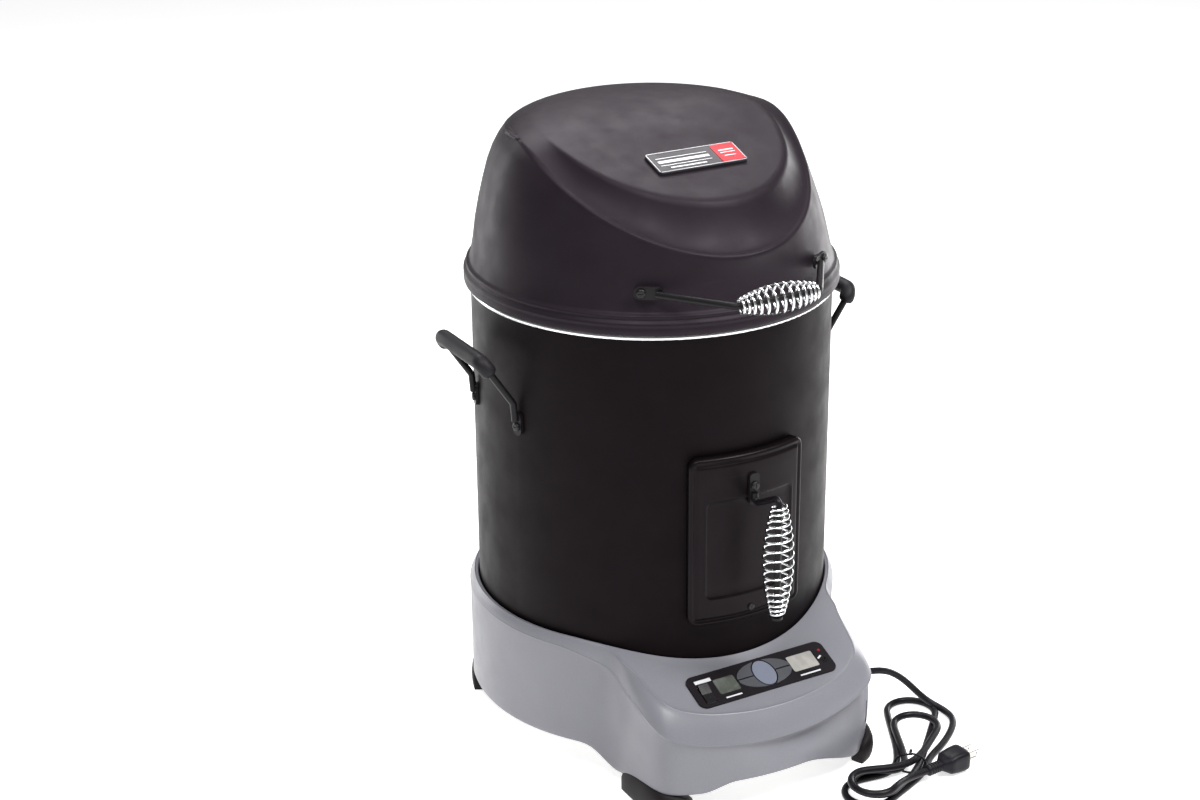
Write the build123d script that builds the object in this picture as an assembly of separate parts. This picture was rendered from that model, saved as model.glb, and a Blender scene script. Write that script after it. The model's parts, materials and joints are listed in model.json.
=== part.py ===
from build123d import *
import os
from math import acos, asin, cos, degrees, pi, radians, sin, sqrt, tan

# Round electric smoker: a double-walled steel barrel on a plastic base with a control deck in front,
# a hinged dome lid and a pull-out wood chip drawer. Millimetres, +Z up, front towards -Y.
# All shapes are drawn about the barrel's own axis; save() then moves them so that the object's box,
# without the free cord, is centred on the origin and stands on z = 0.

# ---- driving dimensions -------------------------------------------------------------------------
BARREL_R = 200.0          # outer radius of the steel barrel
BARREL_T = 1.2            # its sheet thickness
BARREL_FLOOR_Z = 61.5     # underside of the barrel, on the base's ledge
RIM_Z = 518.5             # top edge of barrel and cooking chamber
CHAMBER_R = 185.0         # outer radius of the cooking chamber
CHAMBER_T = 1.0
CHAMBER_FLOOR_Z = 130.0
RUN_GAP = 0.5             # clearance between parts that move past each other

BASE_RING_R = 211.0       # plastic base around the barrel
BASE_TOP_Z = 168.0
BASE_WALL = 3.0
LEDGE_R = 170.0           # inner radius of the ledge that carries the barrel
LEDGE_Z = 57.0
SCREW_CIRCLE_R = 186.0    # screws of the bottom plate
SKIRT_Z = 45.0            # lower edge of the base between its feet
LOBE_R = 292.0            # front of the control deck, measured from the barrel axis
LOBE_HALF_W = 142.0
LOBE_CORNER_R = 55.0
LOBE_BACK_Y = -125.0
DECK_Y = -200.0           # the deck starts at the barrel's front ...
DECK_Z = 145.0            # ... at this height
DECK_SLOPE = 0.4          # and falls this much per unit towards the front
DECK_BEVEL = 15.0
LEG_BOTTOM_Z = 8.0
FOOT_H = 27.0
FOOT_PROUD = 6.0
FOOT_EDGE_R = 4.0
REAR_FOOT_ANGLE = 134.0   # from the front, either side

LID_SKIRT_R = 207.5
LID_BOTTOM = 6.0          # lid heights are above RIM_Z
LID_TOP = 196.0
LID_T = 1.8
FACET_Z = 188.0           # sloping top face of the dome, at the barrel axis
FACET_SLOPE = 0.33
HINGE_Y = 215.0
HINGE_Z = 527.5
PIN_R = 2.5
KNUCKLE_R = 5.0

DOOR_HALF_ANGLE = 20.0
DOOR_R = 212.0
DOOR_Z = (190.0, 386.0)
DOOR_RECESS_Z = (221.0, 338.0)
DOOR_SCREW_Z = 204.0
OPENING_HALF_ANGLE = 17.5
OPENING_Z = (207.0, 372.0)
CHIP_BOX = (100.0, 70.0, 64.0)    # width, depth, height
CHIP_BOX_Z = 214.0
CHIP_BOX_FRONT_Y = -200.6
LOADING_GAP = 28.0        # open front part of the chip box, where the chips go in

PANEL_SIZE = (176.0, 44.0)
PANEL_CENTRE_Y = -235.5
BUTTON_TOP = 3.4          # proud of the deck
BEZEL_TOP = 2.0

SIDE_GRIP_X = 235.0
SIDE_GRIP_Z = 478.0
SIDE_MOUNT_Z = 408.0
SIDE_MOUNT_Y = 50.0
LID_GRIP_Y = -252.0
LID_GRIP_Z = 570.0
LID_GRIP_HALF = 47.0
LID_TAB_ANGLE = 33.6
DOOR_GRIP_Y = -262.0
DOOR_GRIP_Z = (217.0, 345.0)
DOOR_BOLT_Z = 349.0
TAB_GAP = 0.05            # the handles' flat tabs just clear the round sheet behind them
SIDE_TAB_T = 3.4
DOOR_TAB_T = 3.2

CORD_D = 8.0
CORD_EXIT = (172.0, -190.0, 64.0)
CORD_LEAD = [CORD_EXIT, (198, -190, 62), (221, -192, 48), (238, -197, 29), (253, -205, 11),
             (264, -221, 5), (264, -240, 5), (255, -256, 6)]
CORD_TAIL = [(128, -327, 8), (141, -332, 12), (157, -334, 13.5)]
PLUG_START = (157.0, -334.0, 13.5)
PLUG_ANGLE = 5.0
HANK_H = 24.0
TIE_AT = (150.0, -312.0)

FRONT_REACH = LOBE_R
REAR_REACH = HINGE_Y + KNUCKLE_R
AXIS_Y = (FRONT_REACH - REAR_REACH) / 2     # barrel axis in the object's own frame


# ---- helpers ------------------------------------------------------------------------------------
def save(name, *solids):
    """Write one sub-part, moved from the barrel's axis into the object's frame."""
    moved = [solid.moved(Location((0, AXIS_Y, 0))) for solid in solids]
    export_step(moved[0] if len(moved) == 1 else Compound(moved), f"parts/{name}.step")


def polar(radius, angle, z=0.0):
    """A point by its angle from the front, positive towards the object's right (+X)."""
    return Vector(radius * sin(radians(angle)), -radius * cos(radians(angle)), z)


def rise(face, height):
    """Extrude a flat face upwards, whichever way it looks."""
    return extrude(face, height, dir=(0, 0, 1))


def ring(outer, inner, z_low, z_high):
    return rise(Pos(0, 0, z_low) * (Circle(outer) - Circle(inner)), z_high - z_low)


def disc(radius, z_low, z_high, at=(0, 0)):
    return rise(Pos(at[0], at[1], z_low) * Circle(radius), z_high - z_low)


def wedge(half_angle, z_low, z_high, middle=0.0):
    """A tall triangular block from the axis outwards, for cutting sectors out of rings."""
    reach = 400.0
    face = make_face(Polyline((0, 0), tuple(polar(reach, middle - half_angle))[:2],
                              tuple(polar(reach, middle + half_angle))[:2], close=True))
    return rise(Pos(0, 0, z_low) * face, z_high - z_low)


def sector(outer, inner, half_angle, z_low, z_high, middle=0.0):
    return ring(outer, inner, z_low, z_high) & wedge(half_angle, z_low, z_high, middle)


def box(x, y, z):
    """A box from three (low, high) pairs."""
    size = [high - low for low, high in (x, y, z)]
    middle = [(high + low) / 2 for low, high in (x, y, z)]
    return Pos(*middle) * Box(*size)


def rod(points, diameter, bend):
    path = FilletPolyline(*points, radius=bend)
    start = Plane(origin=path @ 0, z_dir=path % 0)
    return sweep(start * Circle(diameter / 2), path=path)


def spun(profile_points, at=(0, 0)):
    """Revolve a closed (radius, z) outline about a vertical axis."""
    face = Plane.XZ * make_face(Polyline(*profile_points, close=True))
    return Pos(at[0], at[1], 0) * revolve(face, Axis.Z)


def screw(point, direction, head_r=4.0, head_h=2.6, shank_r=2.0, shank=6.0):
    """A domed screw: its head stands on the point, its shank goes the other way."""
    head = fillet(Cylinder(head_r, head_h, align=(Align.CENTER, Align.CENTER, Align.MIN))
                  .edges().sort_by(Axis.Z)[-1], head_h * 0.6)
    body = Cylinder(shank_r, shank, align=(Align.CENTER, Align.CENTER, Align.MAX))
    slot = Pos(0, 0, head_h) * Box(head_r * 1.1, 0.9, 1.6)
    return Plane(origin=point, z_dir=direction) * (head + body - slot)


# ---- base ---------------------------------------------------------------------------------------
def above_deck(drop=0.0):
    plane = Plane(origin=(0, DECK_Y, DECK_Z - drop), x_dir=(1, 0, 0), z_dir=(0, -DECK_SLOPE, 1))
    return plane * Box(900, 900, 400, align=(Align.CENTER, Align.CENTER, Align.MIN))


def lobe_plan(inset=0.0):
    """Plan of the control deck: an arc in front, straight sides, round corners."""
    width = 2 * (LOBE_HALF_W - inset)
    length = LOBE_R + LOBE_BACK_Y
    sides = Pos(0, LOBE_BACK_Y - length / 2) * Rectangle(width, length)
    plan = Circle(LOBE_R - inset) & sides
    return fillet(plan.vertices().sort_by(Axis.Y)[:2], LOBE_CORNER_R - inset)


def lobe_block(inset, drop, z_low):
    block = rise(Pos(0, 0, z_low) * lobe_plan(inset), 200 - z_low) - above_deck(drop)
    top = block.faces().sort_by(Axis.Z)[-1]
    rear = top.edges().sort_by(Axis.Y)[-1]
    edges = [edge for edge in top.edges() if edge.center().Y < rear.center().Y - 1]
    block = chamfer(edges, DECK_BEVEL)
    return block & box((-300, 300), (-400, 0), (0, BASE_TOP_Z - drop))


def side_arch():
    """Cut under the base between front and rear feet, through both sides."""
    return box((-300, 300), (-178, 60), (-1, SKIRT_Z))


def base_shell():
    top, wall = BASE_TOP_Z, 2.5
    well_r = BARREL_R + 1.0
    shell = spun([(BASE_RING_R, SKIRT_Z), (BASE_RING_R, top - 22), (well_r + 2, top), (well_r, top),
                  (well_r, BARREL_FLOOR_Z), (LEDGE_R, BARREL_FLOOR_Z), (LEDGE_R, LEDGE_Z),
                  (well_r + wall, LEDGE_Z), (well_r + wall, top - 10),
                  (BASE_RING_R - wall, top - 24), (BASE_RING_R - wall, SKIRT_Z)])
    lobe = lobe_block(0, 0, LEG_BOTTOM_Z) - lobe_block(BASE_WALL, BASE_WALL, LEG_BOTTOM_Z - 2)
    lobe -= disc(BASE_RING_R - wall, 0, 300)
    shell -= above_deck()
    shell += lobe
    well_wall = ring(well_r + wall, well_r, LEDGE_Z, top) - above_deck()
    shell += well_wall & box((-150, 150), (-260, -120), (0, top))
    cavity = lobe_block(BASE_WALL, BASE_WALL, 0) - disc(well_r + wall, -1, 300)
    shell -= cavity
    shell -= disc(well_r, BARREL_FLOOR_Z, 300)
    shell -= box((-84, 84), (-320, -250), (-1, SKIRT_Z - 7))
    shell -= side_arch()
    for side in (-1, 1):
        leg = sector(BASE_RING_R, BASE_RING_R - 6, 13, LEG_BOTTOM_Z, SKIRT_Z + 4, side * REAR_FOOT_ANGLE)
        shell += leg
    for angle in range(30, 360, 60):
        at = tuple(polar(SCREW_CIRCLE_R, angle))[:2]
        shell += disc(6, SKIRT_Z + 2, LEDGE_Z + 0.5, at) - disc(2.05, 0, 55, at)
    shell -= panel_plane() * rise(Pos(0, 0, -12) * RectangleRounded(167, 36, 6), 16)
    shell -= Pos(LOBE_HALF_W, CORD_EXIT[1], CORD_EXIT[2]) * Rot(0, 90, 0) * Cylinder(7.0, 20)
    return shell


def base_bottom_plate():
    plate = rise(Pos(0, 0, SKIRT_Z) * (Circle(BASE_RING_R - 3) + lobe_plan(BASE_WALL + 0.3)), 2.0)
    for angle in range(30, 360, 60):
        plate -= disc(2.1, 0, 90, tuple(polar(SCREW_CIRCLE_R, angle))[:2])
    for side in (-1, 1):
        plate -= sector(BASE_RING_R, BASE_RING_R - 6.3, 13.5, 0, 90, side * REAR_FOOT_ANGLE)
    for row in range(-2, 3):
        plate -= Pos(0, 60 + 14 * row, SKIRT_Z) * Box(60, 5, 10)
    return plate


def bottom_plate_screws():
    return [screw(polar(SCREW_CIRCLE_R, angle, SKIRT_Z), (0, 0, -1), 4.0, 2.2, 2.0, 9.0)
            for angle in range(30, 360, 60)]


def front_foot(side):
    corner = box((82, 200), (-330, -180), (0, FOOT_H))
    if side < 0:
        corner = corner.mirror(Plane.YZ)
    pad = rise(lobe_plan(-FOOT_PROUD), FOOT_H) & corner
    pad = fillet(pad.faces().sort_by(Axis.Z)[-1].edges(), FOOT_EDGE_R) - rise(lobe_plan(12), FOOT_H)
    wall = rise(Pos(0, 0, LEG_BOTTOM_Z) * (lobe_plan(0) - lobe_plan(BASE_WALL)), FOOT_H)
    return pad - wall


def rear_foot(side):
    middle = side * REAR_FOOT_ANGLE
    pad = sector(BASE_RING_R + FOOT_PROUD, BASE_RING_R - 14, 15, 0, FOOT_H, middle)
    pad = fillet(pad.faces().sort_by(Axis.Z)[-1].edges(), FOOT_EDGE_R)
    return pad - sector(BASE_RING_R, BASE_RING_R - 6, 13, LEG_BOTTOM_Z, FOOT_H + 5, middle)


# ---- barrel and cooking chamber -----------------------------------------------------------------
def door_opening(half_angle=OPENING_HALF_ANGLE):
    return wedge(half_angle, *OPENING_Z) & box((-150, 150), (-400, -100), OPENING_Z)


def barrel_shell():
    shell = disc(BARREL_R, BARREL_FLOOR_Z, RIM_Z) - disc(BARREL_R - BARREL_T,
                                                         BARREL_FLOOR_Z + BARREL_T, RIM_Z + 1)
    shell -= door_opening() + disc(24, 0, 100, (0, 40))
    for side in (-1, 1):
        for y in (-SIDE_MOUNT_Y, SIDE_MOUNT_Y):
            shell -= radial_hole(side_mount_angle(side, y), SIDE_MOUNT_Z - 9, 2.8)
        shell -= Pos(side * 15, BARREL_R, 482) * Rot(90, 0, 0) * Cylinder(2.1, 20)
    return shell


def radial_hole(angle, z, radius):
    return Plane(origin=polar(BARREL_R, angle, z), z_dir=polar(1, angle)) * Cylinder(radius, 30)


def side_mount_angle(side, y):
    return side * degrees(acos(-y / BARREL_R))


SENSOR_ANGLE = 137.7
SENSOR_Z = 300.0
ELEMENT_R = 140.0
ELEMENT_LEG_X = 14.0


def sensor_plane(radius):
    return Plane(origin=polar(radius, SENSOR_ANGLE, SENSOR_Z), z_dir=polar(1, SENSOR_ANGLE))


def cooking_chamber():
    shell = disc(CHAMBER_R, CHAMBER_FLOOR_Z, RIM_Z) - disc(CHAMBER_R - CHAMBER_T,
                                                           CHAMBER_FLOOR_Z + CHAMBER_T, RIM_Z + 1)
    shell -= door_opening()
    for side in (-1, 1):
        leg = polar(ELEMENT_R, 180 + side * degrees(asin(ELEMENT_LEG_X / ELEMENT_R)))
        shell -= disc(4.4, 100, 140, (leg.X, leg.Y))
    return shell - sensor_plane(CHAMBER_R) * Cylinder(3.0, 20)


def rim_ring():
    bead = ring(203.5, 183, RIM_Z, RIM_Z + 5)
    edges = bead.edges().filter_by(GeomType.CIRCLE).sort_by(SortBy.RADIUS)[-2:]
    return fillet(edges, 2.2)


def chamber_spacers():
    """Feet between the barrel's floor and the chamber's floor."""
    low, high = BARREL_FLOOR_Z + BARREL_T, CHAMBER_FLOOR_Z
    spacers = []
    for angle in (45, 135, 225, 315):
        x, y = tuple(polar(150, angle))[:2]
        tube = disc(8, low, high, (x, y)) - disc(6.5, low + 2, high - 2, (x, y))
        spacers.append(tube)
    return spacers


def heating_element():
    loop_r, tube_r, z = ELEMENT_R, 4.0, CHAMBER_FLOOR_Z + 20
    open_half = degrees(asin(ELEMENT_LEG_X / ELEMENT_R))
    start, end = polar(loop_r, 180 - open_half, z), polar(loop_r, 180 + open_half, z)
    arc = ThreePointArc(start, polar(loop_r, 0, z), end)
    loop = sweep(Plane(origin=arc @ 0, z_dir=arc % 0) * Circle(tube_r), path=arc)
    legs = [disc(tube_r, CHAMBER_FLOOR_Z - 24, z, (p.X, p.Y)) for p in (start, end)]
    elbows = [Pos(p.X, p.Y, z) * Sphere(tube_r) for p in (start, end)]
    return loop + legs[0] + legs[1] + elbows[0] + elbows[1]


def element_clips():
    """Three stands that hold the element's loop over the chamber floor."""
    clips = []
    for angle in (0, 120, 240):
        x, y = tuple(polar(ELEMENT_R, angle))[:2]
        clips.append(disc(3, CHAMBER_FLOOR_Z + CHAMBER_T, CHAMBER_FLOOR_Z + 16, (x, y)))
    return clips


def terminal_block():
    block = box((-26, 26), (118, 152), (BARREL_FLOOR_Z + 14, CHAMBER_FLOOR_Z - 24))
    block = fillet(block.edges().filter_by(Axis.Z), 3)
    legs = [disc(4, BARREL_FLOOR_Z + BARREL_T, BARREL_FLOOR_Z + 15, (x, 124)) for x in (-18, 18)]
    return block + legs[0] + legs[1]


def drip_tray():
    low = CHAMBER_FLOOR_Z + 26
    tray = spun([(0, low), (118, low), (124, low + 14), (127, low + 14), (127, low + 15.5),
                 (123, low + 15.5), (117, low + 1.5), (0, low + 1.5)])
    for angle in (60, 180, 300):
        x, y = tuple(polar(105, angle))[:2]
        tray += disc(3.5, CHAMBER_FLOOR_Z + CHAMBER_T, low + 0.5, (x, y))
    return tray


BASKET_R = 122.0
BASKET_Z = (CHAMBER_FLOOR_Z + 46, 470.0)
BASKET_ROWS = 5
BASKET_BARS = 24


def food_basket():
    """Open basket of steel strip: hoops, uprights, a floor grid, a rolled rim and four feet."""
    low, high = BASKET_Z
    strip = 1.6
    basket = ring(BASKET_R, BASKET_R - strip, low, high) + disc(BASKET_R, low, low + strip)
    basket += ring(BASKET_R + 1.5, BASKET_R - strip - 1, high - 4, high)
    pitch = (high - low - 4) / BASKET_ROWS
    gap = 2 * pi * BASKET_R / BASKET_BARS - 3.5
    windows = []
    for row in range(BASKET_ROWS):
        for step in range(BASKET_BARS // 2):
            at = Pos(0, 0, low + 4 + (row + 0.5) * pitch) * Rot(0, 0, step * 360 / BASKET_BARS)
            windows.append(at * Box(2 * BASKET_R + 20, gap, pitch - 4))
    for row in range(-5, 6):
        half = sqrt((BASKET_R - 6) ** 2 - (20 * abs(row) + 8) ** 2) if abs(row) < 5 else 35
        windows.append(Pos(0, 20 * row, low) * Box(2 * half, 16, 10))
    basket -= windows
    basket += box((-2, 2), (-BASKET_R + 2, BASKET_R - 2), (low, low + strip))
    tray_top = CHAMBER_FLOOR_Z + 27.5
    for angle in (45, 135, 225, 315):
        x, y = tuple(polar(BASKET_R - 6, angle))[:2]
        basket += disc(5, low - 3, low + strip, (x, y)) + disc(2.5, tray_top, low, (x * 0.93, y * 0.93))
    return basket


def chamber_sensor():
    """Thermostat bulb through the chamber wall."""
    outwards = (Align.CENTER, Align.CENTER, Align.MIN)
    probe = sensor_plane(CHAMBER_R - 17) * Cylinder(2.8, 24, align=outwards)
    collar = sensor_plane(CHAMBER_R + 0.6) * Cylinder(6, 6, align=outwards)
    return probe + collar


# ---- lid ----------------------------------------------------------------------------------------
DOME = [(198.0, 38), (195.0, 60), (188.0, 100), (179.0, 132), (168.0, 156), (152.0, 174),
        (125.0, 187), (80.0, 194)]


def lid_solid(inset, drop):
    skirt_r = LID_SKIRT_R - inset
    curve = Spline((200.0 - inset, 30), *[(r - inset, z - drop) for r, z in DOME], (0, LID_TOP - drop),
                   tangents=((-0.05, 1), (-1, 0)))
    outline = (Polyline((0, LID_TOP - drop), (0, LID_BOTTOM - inset), (skirt_r, LID_BOTTOM - inset),
                        (skirt_r, 19), (skirt_r - 2.5, 20.5), (skirt_r - 2.5, 27), (200.0 - inset, 30))
               + curve)
    solid = Pos(0, 0, RIM_Z) * revolve(Plane.XZ * make_face(outline), Axis.Z)
    facet = Plane(origin=(0, 0, RIM_Z + FACET_Z - drop), x_dir=(1, 0, 0), z_dir=(0, -FACET_SLOPE, 1))
    return solid - facet * Box(900, 900, 300, align=(Align.CENTER, Align.CENTER, Align.MIN))


def lid_shell():
    shell = lid_solid(0, 0) - lid_solid(LID_T, LID_T)
    for side in (-1, 1):
        shell -= radial_hole(side * LID_TAB_ANGLE, LID_GRIP_Z, 3.0)
    return shell


def lid_gasket():
    return ring(202, 193, RIM_Z + 5 + RUN_GAP, RIM_Z + 9) + ring(LID_SKIRT_R - LID_T, 201,
                                                                RIM_Z + 7, RIM_Z + 9)


def facet_plane(y, proud=0.0):
    return Plane(origin=(0, y, RIM_Z + FACET_Z + FACET_SLOPE * y), x_dir=(1, 0, 0),
                 z_dir=(0, -FACET_SLOPE, 1)).offset(proud)


BADGE_Y = -92.0


def badge_plate():
    return facet_plane(BADGE_Y) * rise(RectangleRounded(108, 36, 4), 2.2)


def badge_accent():
    return facet_plane(BADGE_Y, 2.2) * rise(Pos(38, 0) * RectangleRounded(28, 31, 2.5), 0.6)


def hinge_bracket():
    """Fixed half of the hinge, screwed to the barrel's back: plate, shelf, riser, two knuckles."""
    plate = box((-25, 25), (BARREL_R + 0.2, BARREL_R + 2.4), (468, 509))
    shelf = box((-25, 25), (BARREL_R + 0.2, HINGE_Y + 1.5), (506, 509))
    bracket = plate + shelf
    for side in (-1, 1):
        x = (11, 25) if side > 0 else (-25, -11)
        bracket += box(x, (HINGE_Y - 1.5, HINGE_Y + 1.5), (506, HINGE_Z))
        bracket += Pos(side * 18, HINGE_Y, HINGE_Z) * Rot(0, 90, 0) * Cylinder(KNUCKLE_R, 14)
    bore = Pos(0, HINGE_Y, HINGE_Z) * Rot(0, 90, 0) * Cylinder(PIN_R, 80)
    for side in (-1, 1):
        bore += Pos(side * 15, BARREL_R, 482) * Rot(90, 0, 0) * Cylinder(2.1, 20)
    return bracket - bore


def hinge_screws():
    return [screw((side * 15, BARREL_R + 2.4, 482), (0, 1, 0), 4.0, 2.4, 2.0, 8.0) for side in (-1, 1)]


def hinge_lid_leaf():
    knuckle = Pos(0, HINGE_Y, HINGE_Z) * Rot(0, 90, 0) * Cylinder(KNUCKLE_R - 0.3, 20.6)
    web = box((-10.3, 10.3), (LID_SKIRT_R + 0.2, HINGE_Y), (HINGE_Z + 1, HINGE_Z + 4))
    leaf = box((-22, 22), (LID_SKIRT_R + 0.2, LID_SKIRT_R + 2.2), (HINGE_Z + 1, HINGE_Z + 10))
    bore = Pos(0, HINGE_Y, HINGE_Z) * Rot(0, 90, 0) * Cylinder(PIN_R + 0.08, 80)
    return knuckle + web + leaf - bore - disc(LID_SKIRT_R, HINGE_Z - 20, HINGE_Z + 20)


def hinge_pin():
    shaft = Pos(0, HINGE_Y, HINGE_Z) * Rot(0, 90, 0) * Cylinder(PIN_R, 54)
    head = Pos(27.5, HINGE_Y, HINGE_Z) * Rot(0, 90, 0) * Cylinder(4.2, 2.4)
    return shaft + head


# ---- handles ------------------------------------------------------------------------------------
def barrel_grip(length, end_r, middle_r, wall=2.6, steps=6):
    """A hollow barrel-shaped sleeve along Z from 0: the envelope of a coiled-wire grip."""
    def radius(t):
        return end_r + (middle_r - end_r) * sin(pi * t) ** 1.3
    outer = [(radius(i / steps), length * i / steps) for i in range(steps + 1)]
    inner = [(max(r - wall, end_r - wall), z) for r, z in outer]
    face = make_face(Spline(*outer) + Line(outer[-1], inner[-1]) + Spline(*inner[::-1])
                     + Line(inner[0], outer[0]))
    return revolve(Plane.XZ * face, Axis.Z)


def lid_handle_rod():
    tab = polar(201.5, LID_TAB_ANGLE, LID_GRIP_Z)
    near = polar(207, LID_TAB_ANGLE - 4.5, LID_GRIP_Z)
    end = (LID_GRIP_HALF + 3, LID_GRIP_Y, LID_GRIP_Z)
    right = [(near.X, near.Y, LID_GRIP_Z), end]
    left = [(-x, y, z) for x, y, z in right]
    bar = rod([left[0], left[1], right[1], right[0]], 7.5, 9)
    for side in (-1, 1):
        at = polar(199.6, side * (LID_TAB_ANGLE - 1), LID_GRIP_Z)
        turn = side * LID_TAB_ANGLE
        plane = Plane(origin=at, x_dir=polar(1, turn + 90), z_dir=polar(1, turn))
        bar += plane * rise(Pos(-side * 4, 0) * RectangleRounded(30, 14, 6.5), 3.4)
        hole = Plane(origin=polar(190, side * LID_TAB_ANGLE, LID_GRIP_Z),
                     z_dir=polar(1, side * LID_TAB_ANGLE)) * Cylinder(3.1, 60)
        bar -= hole
    return bar - lid_solid(0, 0)


def lid_handle_grip():
    sleeve = barrel_grip(2 * LID_GRIP_HALF, 8.0, 17.0)
    return Pos(-LID_GRIP_HALF, LID_GRIP_Y, LID_GRIP_Z) * Rot(0, 90, 0) * sleeve


def lid_handle_bolts():
    bolts = []
    for side in (-1, 1):
        at = polar(203.2, side * LID_TAB_ANGLE, LID_GRIP_Z)
        bolts.append(screw(at, polar(1, side * LID_TAB_ANGLE), 5.0, 3.0, 2.9, 9.0))
    return bolts


def side_handle_rod(side):
    low = (side * 198.4, SIDE_MOUNT_Y, SIDE_MOUNT_Z - 2)
    start = (side * 200.0, SIDE_MOUNT_Y, SIDE_MOUNT_Z + 18)
    top = (side * SIDE_GRIP_X, SIDE_MOUNT_Y + 1, SIDE_GRIP_Z)
    half = [low, start, top]
    mirrored = [(x, -y, z) for x, y, z in half[::-1]]
    handle = rod(half + mirrored, 7.5, 10)
    for y in (-SIDE_MOUNT_Y, SIDE_MOUNT_Y):
        angle = side_mount_angle(side, y)
        plane = Plane(origin=polar(BARREL_R + TAB_GAP, angle, SIDE_MOUNT_Z - 6),
                      x_dir=polar(1, angle + 90), z_dir=polar(1, angle))
        tab = RectangleRounded(13, 26, 6) - Pos(0, -3) * Circle(2.9)
        handle += plane * rise(tab, SIDE_TAB_T)
    return handle


def side_handle_grip(side):
    """Moulded sleeve over the rod's straight top, down into both bends."""
    half = SIDE_MOUNT_Y - 11
    sleeve = Cylinder(7.8, 2 * half) - Cylinder(3.75, 2 * half + 2)
    ends = sleeve.edges().filter_by(GeomType.CIRCLE).filter_by(lambda e: e.radius > 5)
    sleeve = fillet(ends, 2.5)
    return Pos(side * SIDE_GRIP_X, 0, SIDE_GRIP_Z) * Rot(90, 0, 0) * sleeve


def side_handle_bolts():
    bolts = []
    for side in (-1, 1):
        for y in (-SIDE_MOUNT_Y, SIDE_MOUNT_Y):
            angle = side_mount_angle(side, y)
            at = polar(BARREL_R + TAB_GAP + SIDE_TAB_T, angle, SIDE_MOUNT_Z - 9)
            bolts.append(screw(at, polar(1, angle), 4.8, 2.8, 2.7, 8.0))
    return bolts


# ---- wood chip drawer: door, box and handle -----------------------------------------------------
def level_edges(solid, levels):
    """The straight edges that lie at either of two heights."""
    return [edge for edge in solid.edges().filter_by(GeomType.LINE)
            if min(abs(edge.center().Z - level) for level in levels) < 1]


def door_panel():
    block = sector(DOOR_R, BARREL_R + RUN_GAP, DOOR_HALF_ANGLE, *DOOR_Z)
    block = fillet(level_edges(block, DOOR_Z), 10)
    skin = sector(DOOR_R - 2.5, BARREL_R - 5, DOOR_HALF_ANGLE - 0.8, DOOR_Z[0] + 2.5, DOOR_Z[1] - 2.5)
    recess = sector(DOOR_R + 5, DOOR_R - 1.4, 15, *DOOR_RECESS_Z)
    recess = fillet(level_edges(recess, DOOR_RECESS_Z), 9)
    holes = Pos(0, -DOOR_R, DOOR_BOLT_Z) * Rot(90, 0, 0) * Cylinder(3.0, 20)
    holes += Pos(0, -DOOR_R, DOOR_SCREW_Z) * Rot(90, 0, 0) * Cylinder(2.2, 20)
    return block - skin - recess - holes


def chip_box():
    width, depth, height = CHIP_BOX
    outer = box((-width / 2, width / 2), (CHIP_BOX_FRONT_Y, CHIP_BOX_FRONT_Y + depth),
                (CHIP_BOX_Z, CHIP_BOX_Z + height))
    outer = fillet(outer.edges().filter_by(Axis.Z), 5)
    inner = box((-width / 2 + 1.2, width / 2 - 1.2),
                (CHIP_BOX_FRONT_Y + 1.2, CHIP_BOX_FRONT_Y + depth - 1.2),
                (CHIP_BOX_Z + 1.2, CHIP_BOX_Z + height + 1))
    return outer - inner


def chip_box_bracket():
    back = box((-14, 14), (-DOOR_R + 2.6, CHIP_BOX_FRONT_Y), (196, 262))
    hole = Pos(0, -206, DOOR_SCREW_Z) * Rot(90, 0, 0) * Cylinder(2.1, 30)
    return back & disc(DOOR_R - 2.5, 190, 300) - hole


def chip_box_lid():
    """Perforated cover over the rear of the chip box."""
    width, depth, height = CHIP_BOX
    z = CHIP_BOX_Z + height
    front = CHIP_BOX_FRONT_Y + LOADING_GAP
    lid = box((-width / 2, width / 2), (front, CHIP_BOX_FRONT_Y + depth), (z, z + 1.2))
    for column in range(-3, 4):
        for row in range(3):
            lid -= disc(3, z - 1, z + 3, (column * 13, front + 9 + row * 12))
    return lid


def door_handle_rod():
    foot_y = -DOOR_R - 4.2
    tab_z = DOOR_BOLT_Z - 4
    arm = rod([(0, foot_y, DOOR_BOLT_Z - 8), (0, foot_y, 328), (0, DOOR_GRIP_Y, 353),
               (0, DOOR_GRIP_Y, DOOR_GRIP_Z[0] - 4)], 7.0, 5.5)
    tab = RectangleRounded(12, 36, 4) - Pos(0, DOOR_BOLT_Z - tab_z) * Circle(3.0)
    plane = Plane(origin=(0, -DOOR_R - TAB_GAP, tab_z), x_dir=(1, 0, 0), z_dir=(0, -1, 0))
    tab = plane * rise(tab, DOOR_TAB_T)
    end = Pos(0, DOOR_GRIP_Y, DOOR_GRIP_Z[0] - 3.5) * Cylinder(6.5, 3)
    return arm + tab + end


def door_handle_grip():
    sleeve = barrel_grip(DOOR_GRIP_Z[1] - DOOR_GRIP_Z[0], 8.0, 17.5)
    return Pos(0, DOOR_GRIP_Y, DOOR_GRIP_Z[0]) * sleeve


def door_bolts():
    upper = screw((0, -DOOR_R - TAB_GAP - DOOR_TAB_T, DOOR_BOLT_Z), (0, -1, 0), 4.8, 3.0, 2.9, 8.0)
    lower = screw((0, -DOOR_R, DOOR_SCREW_Z), (0, -1, 0), 3.8, 2.2, 2.0, 9.0)
    return [upper, lower]


# ---- control panel ------------------------------------------------------------------------------
def panel_plane(up=0.0):
    """Plane of the deck under the panel: u to the right, v up the slope, w out of the deck."""
    z = DECK_Z + DECK_SLOPE * (PANEL_CENTRE_Y - DECK_Y)
    plane = Plane(origin=(0, PANEL_CENTRE_Y, z), x_dir=(1, 0, 0), z_dir=(0, -DECK_SLOPE, 1))
    return plane.offset(up)


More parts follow.
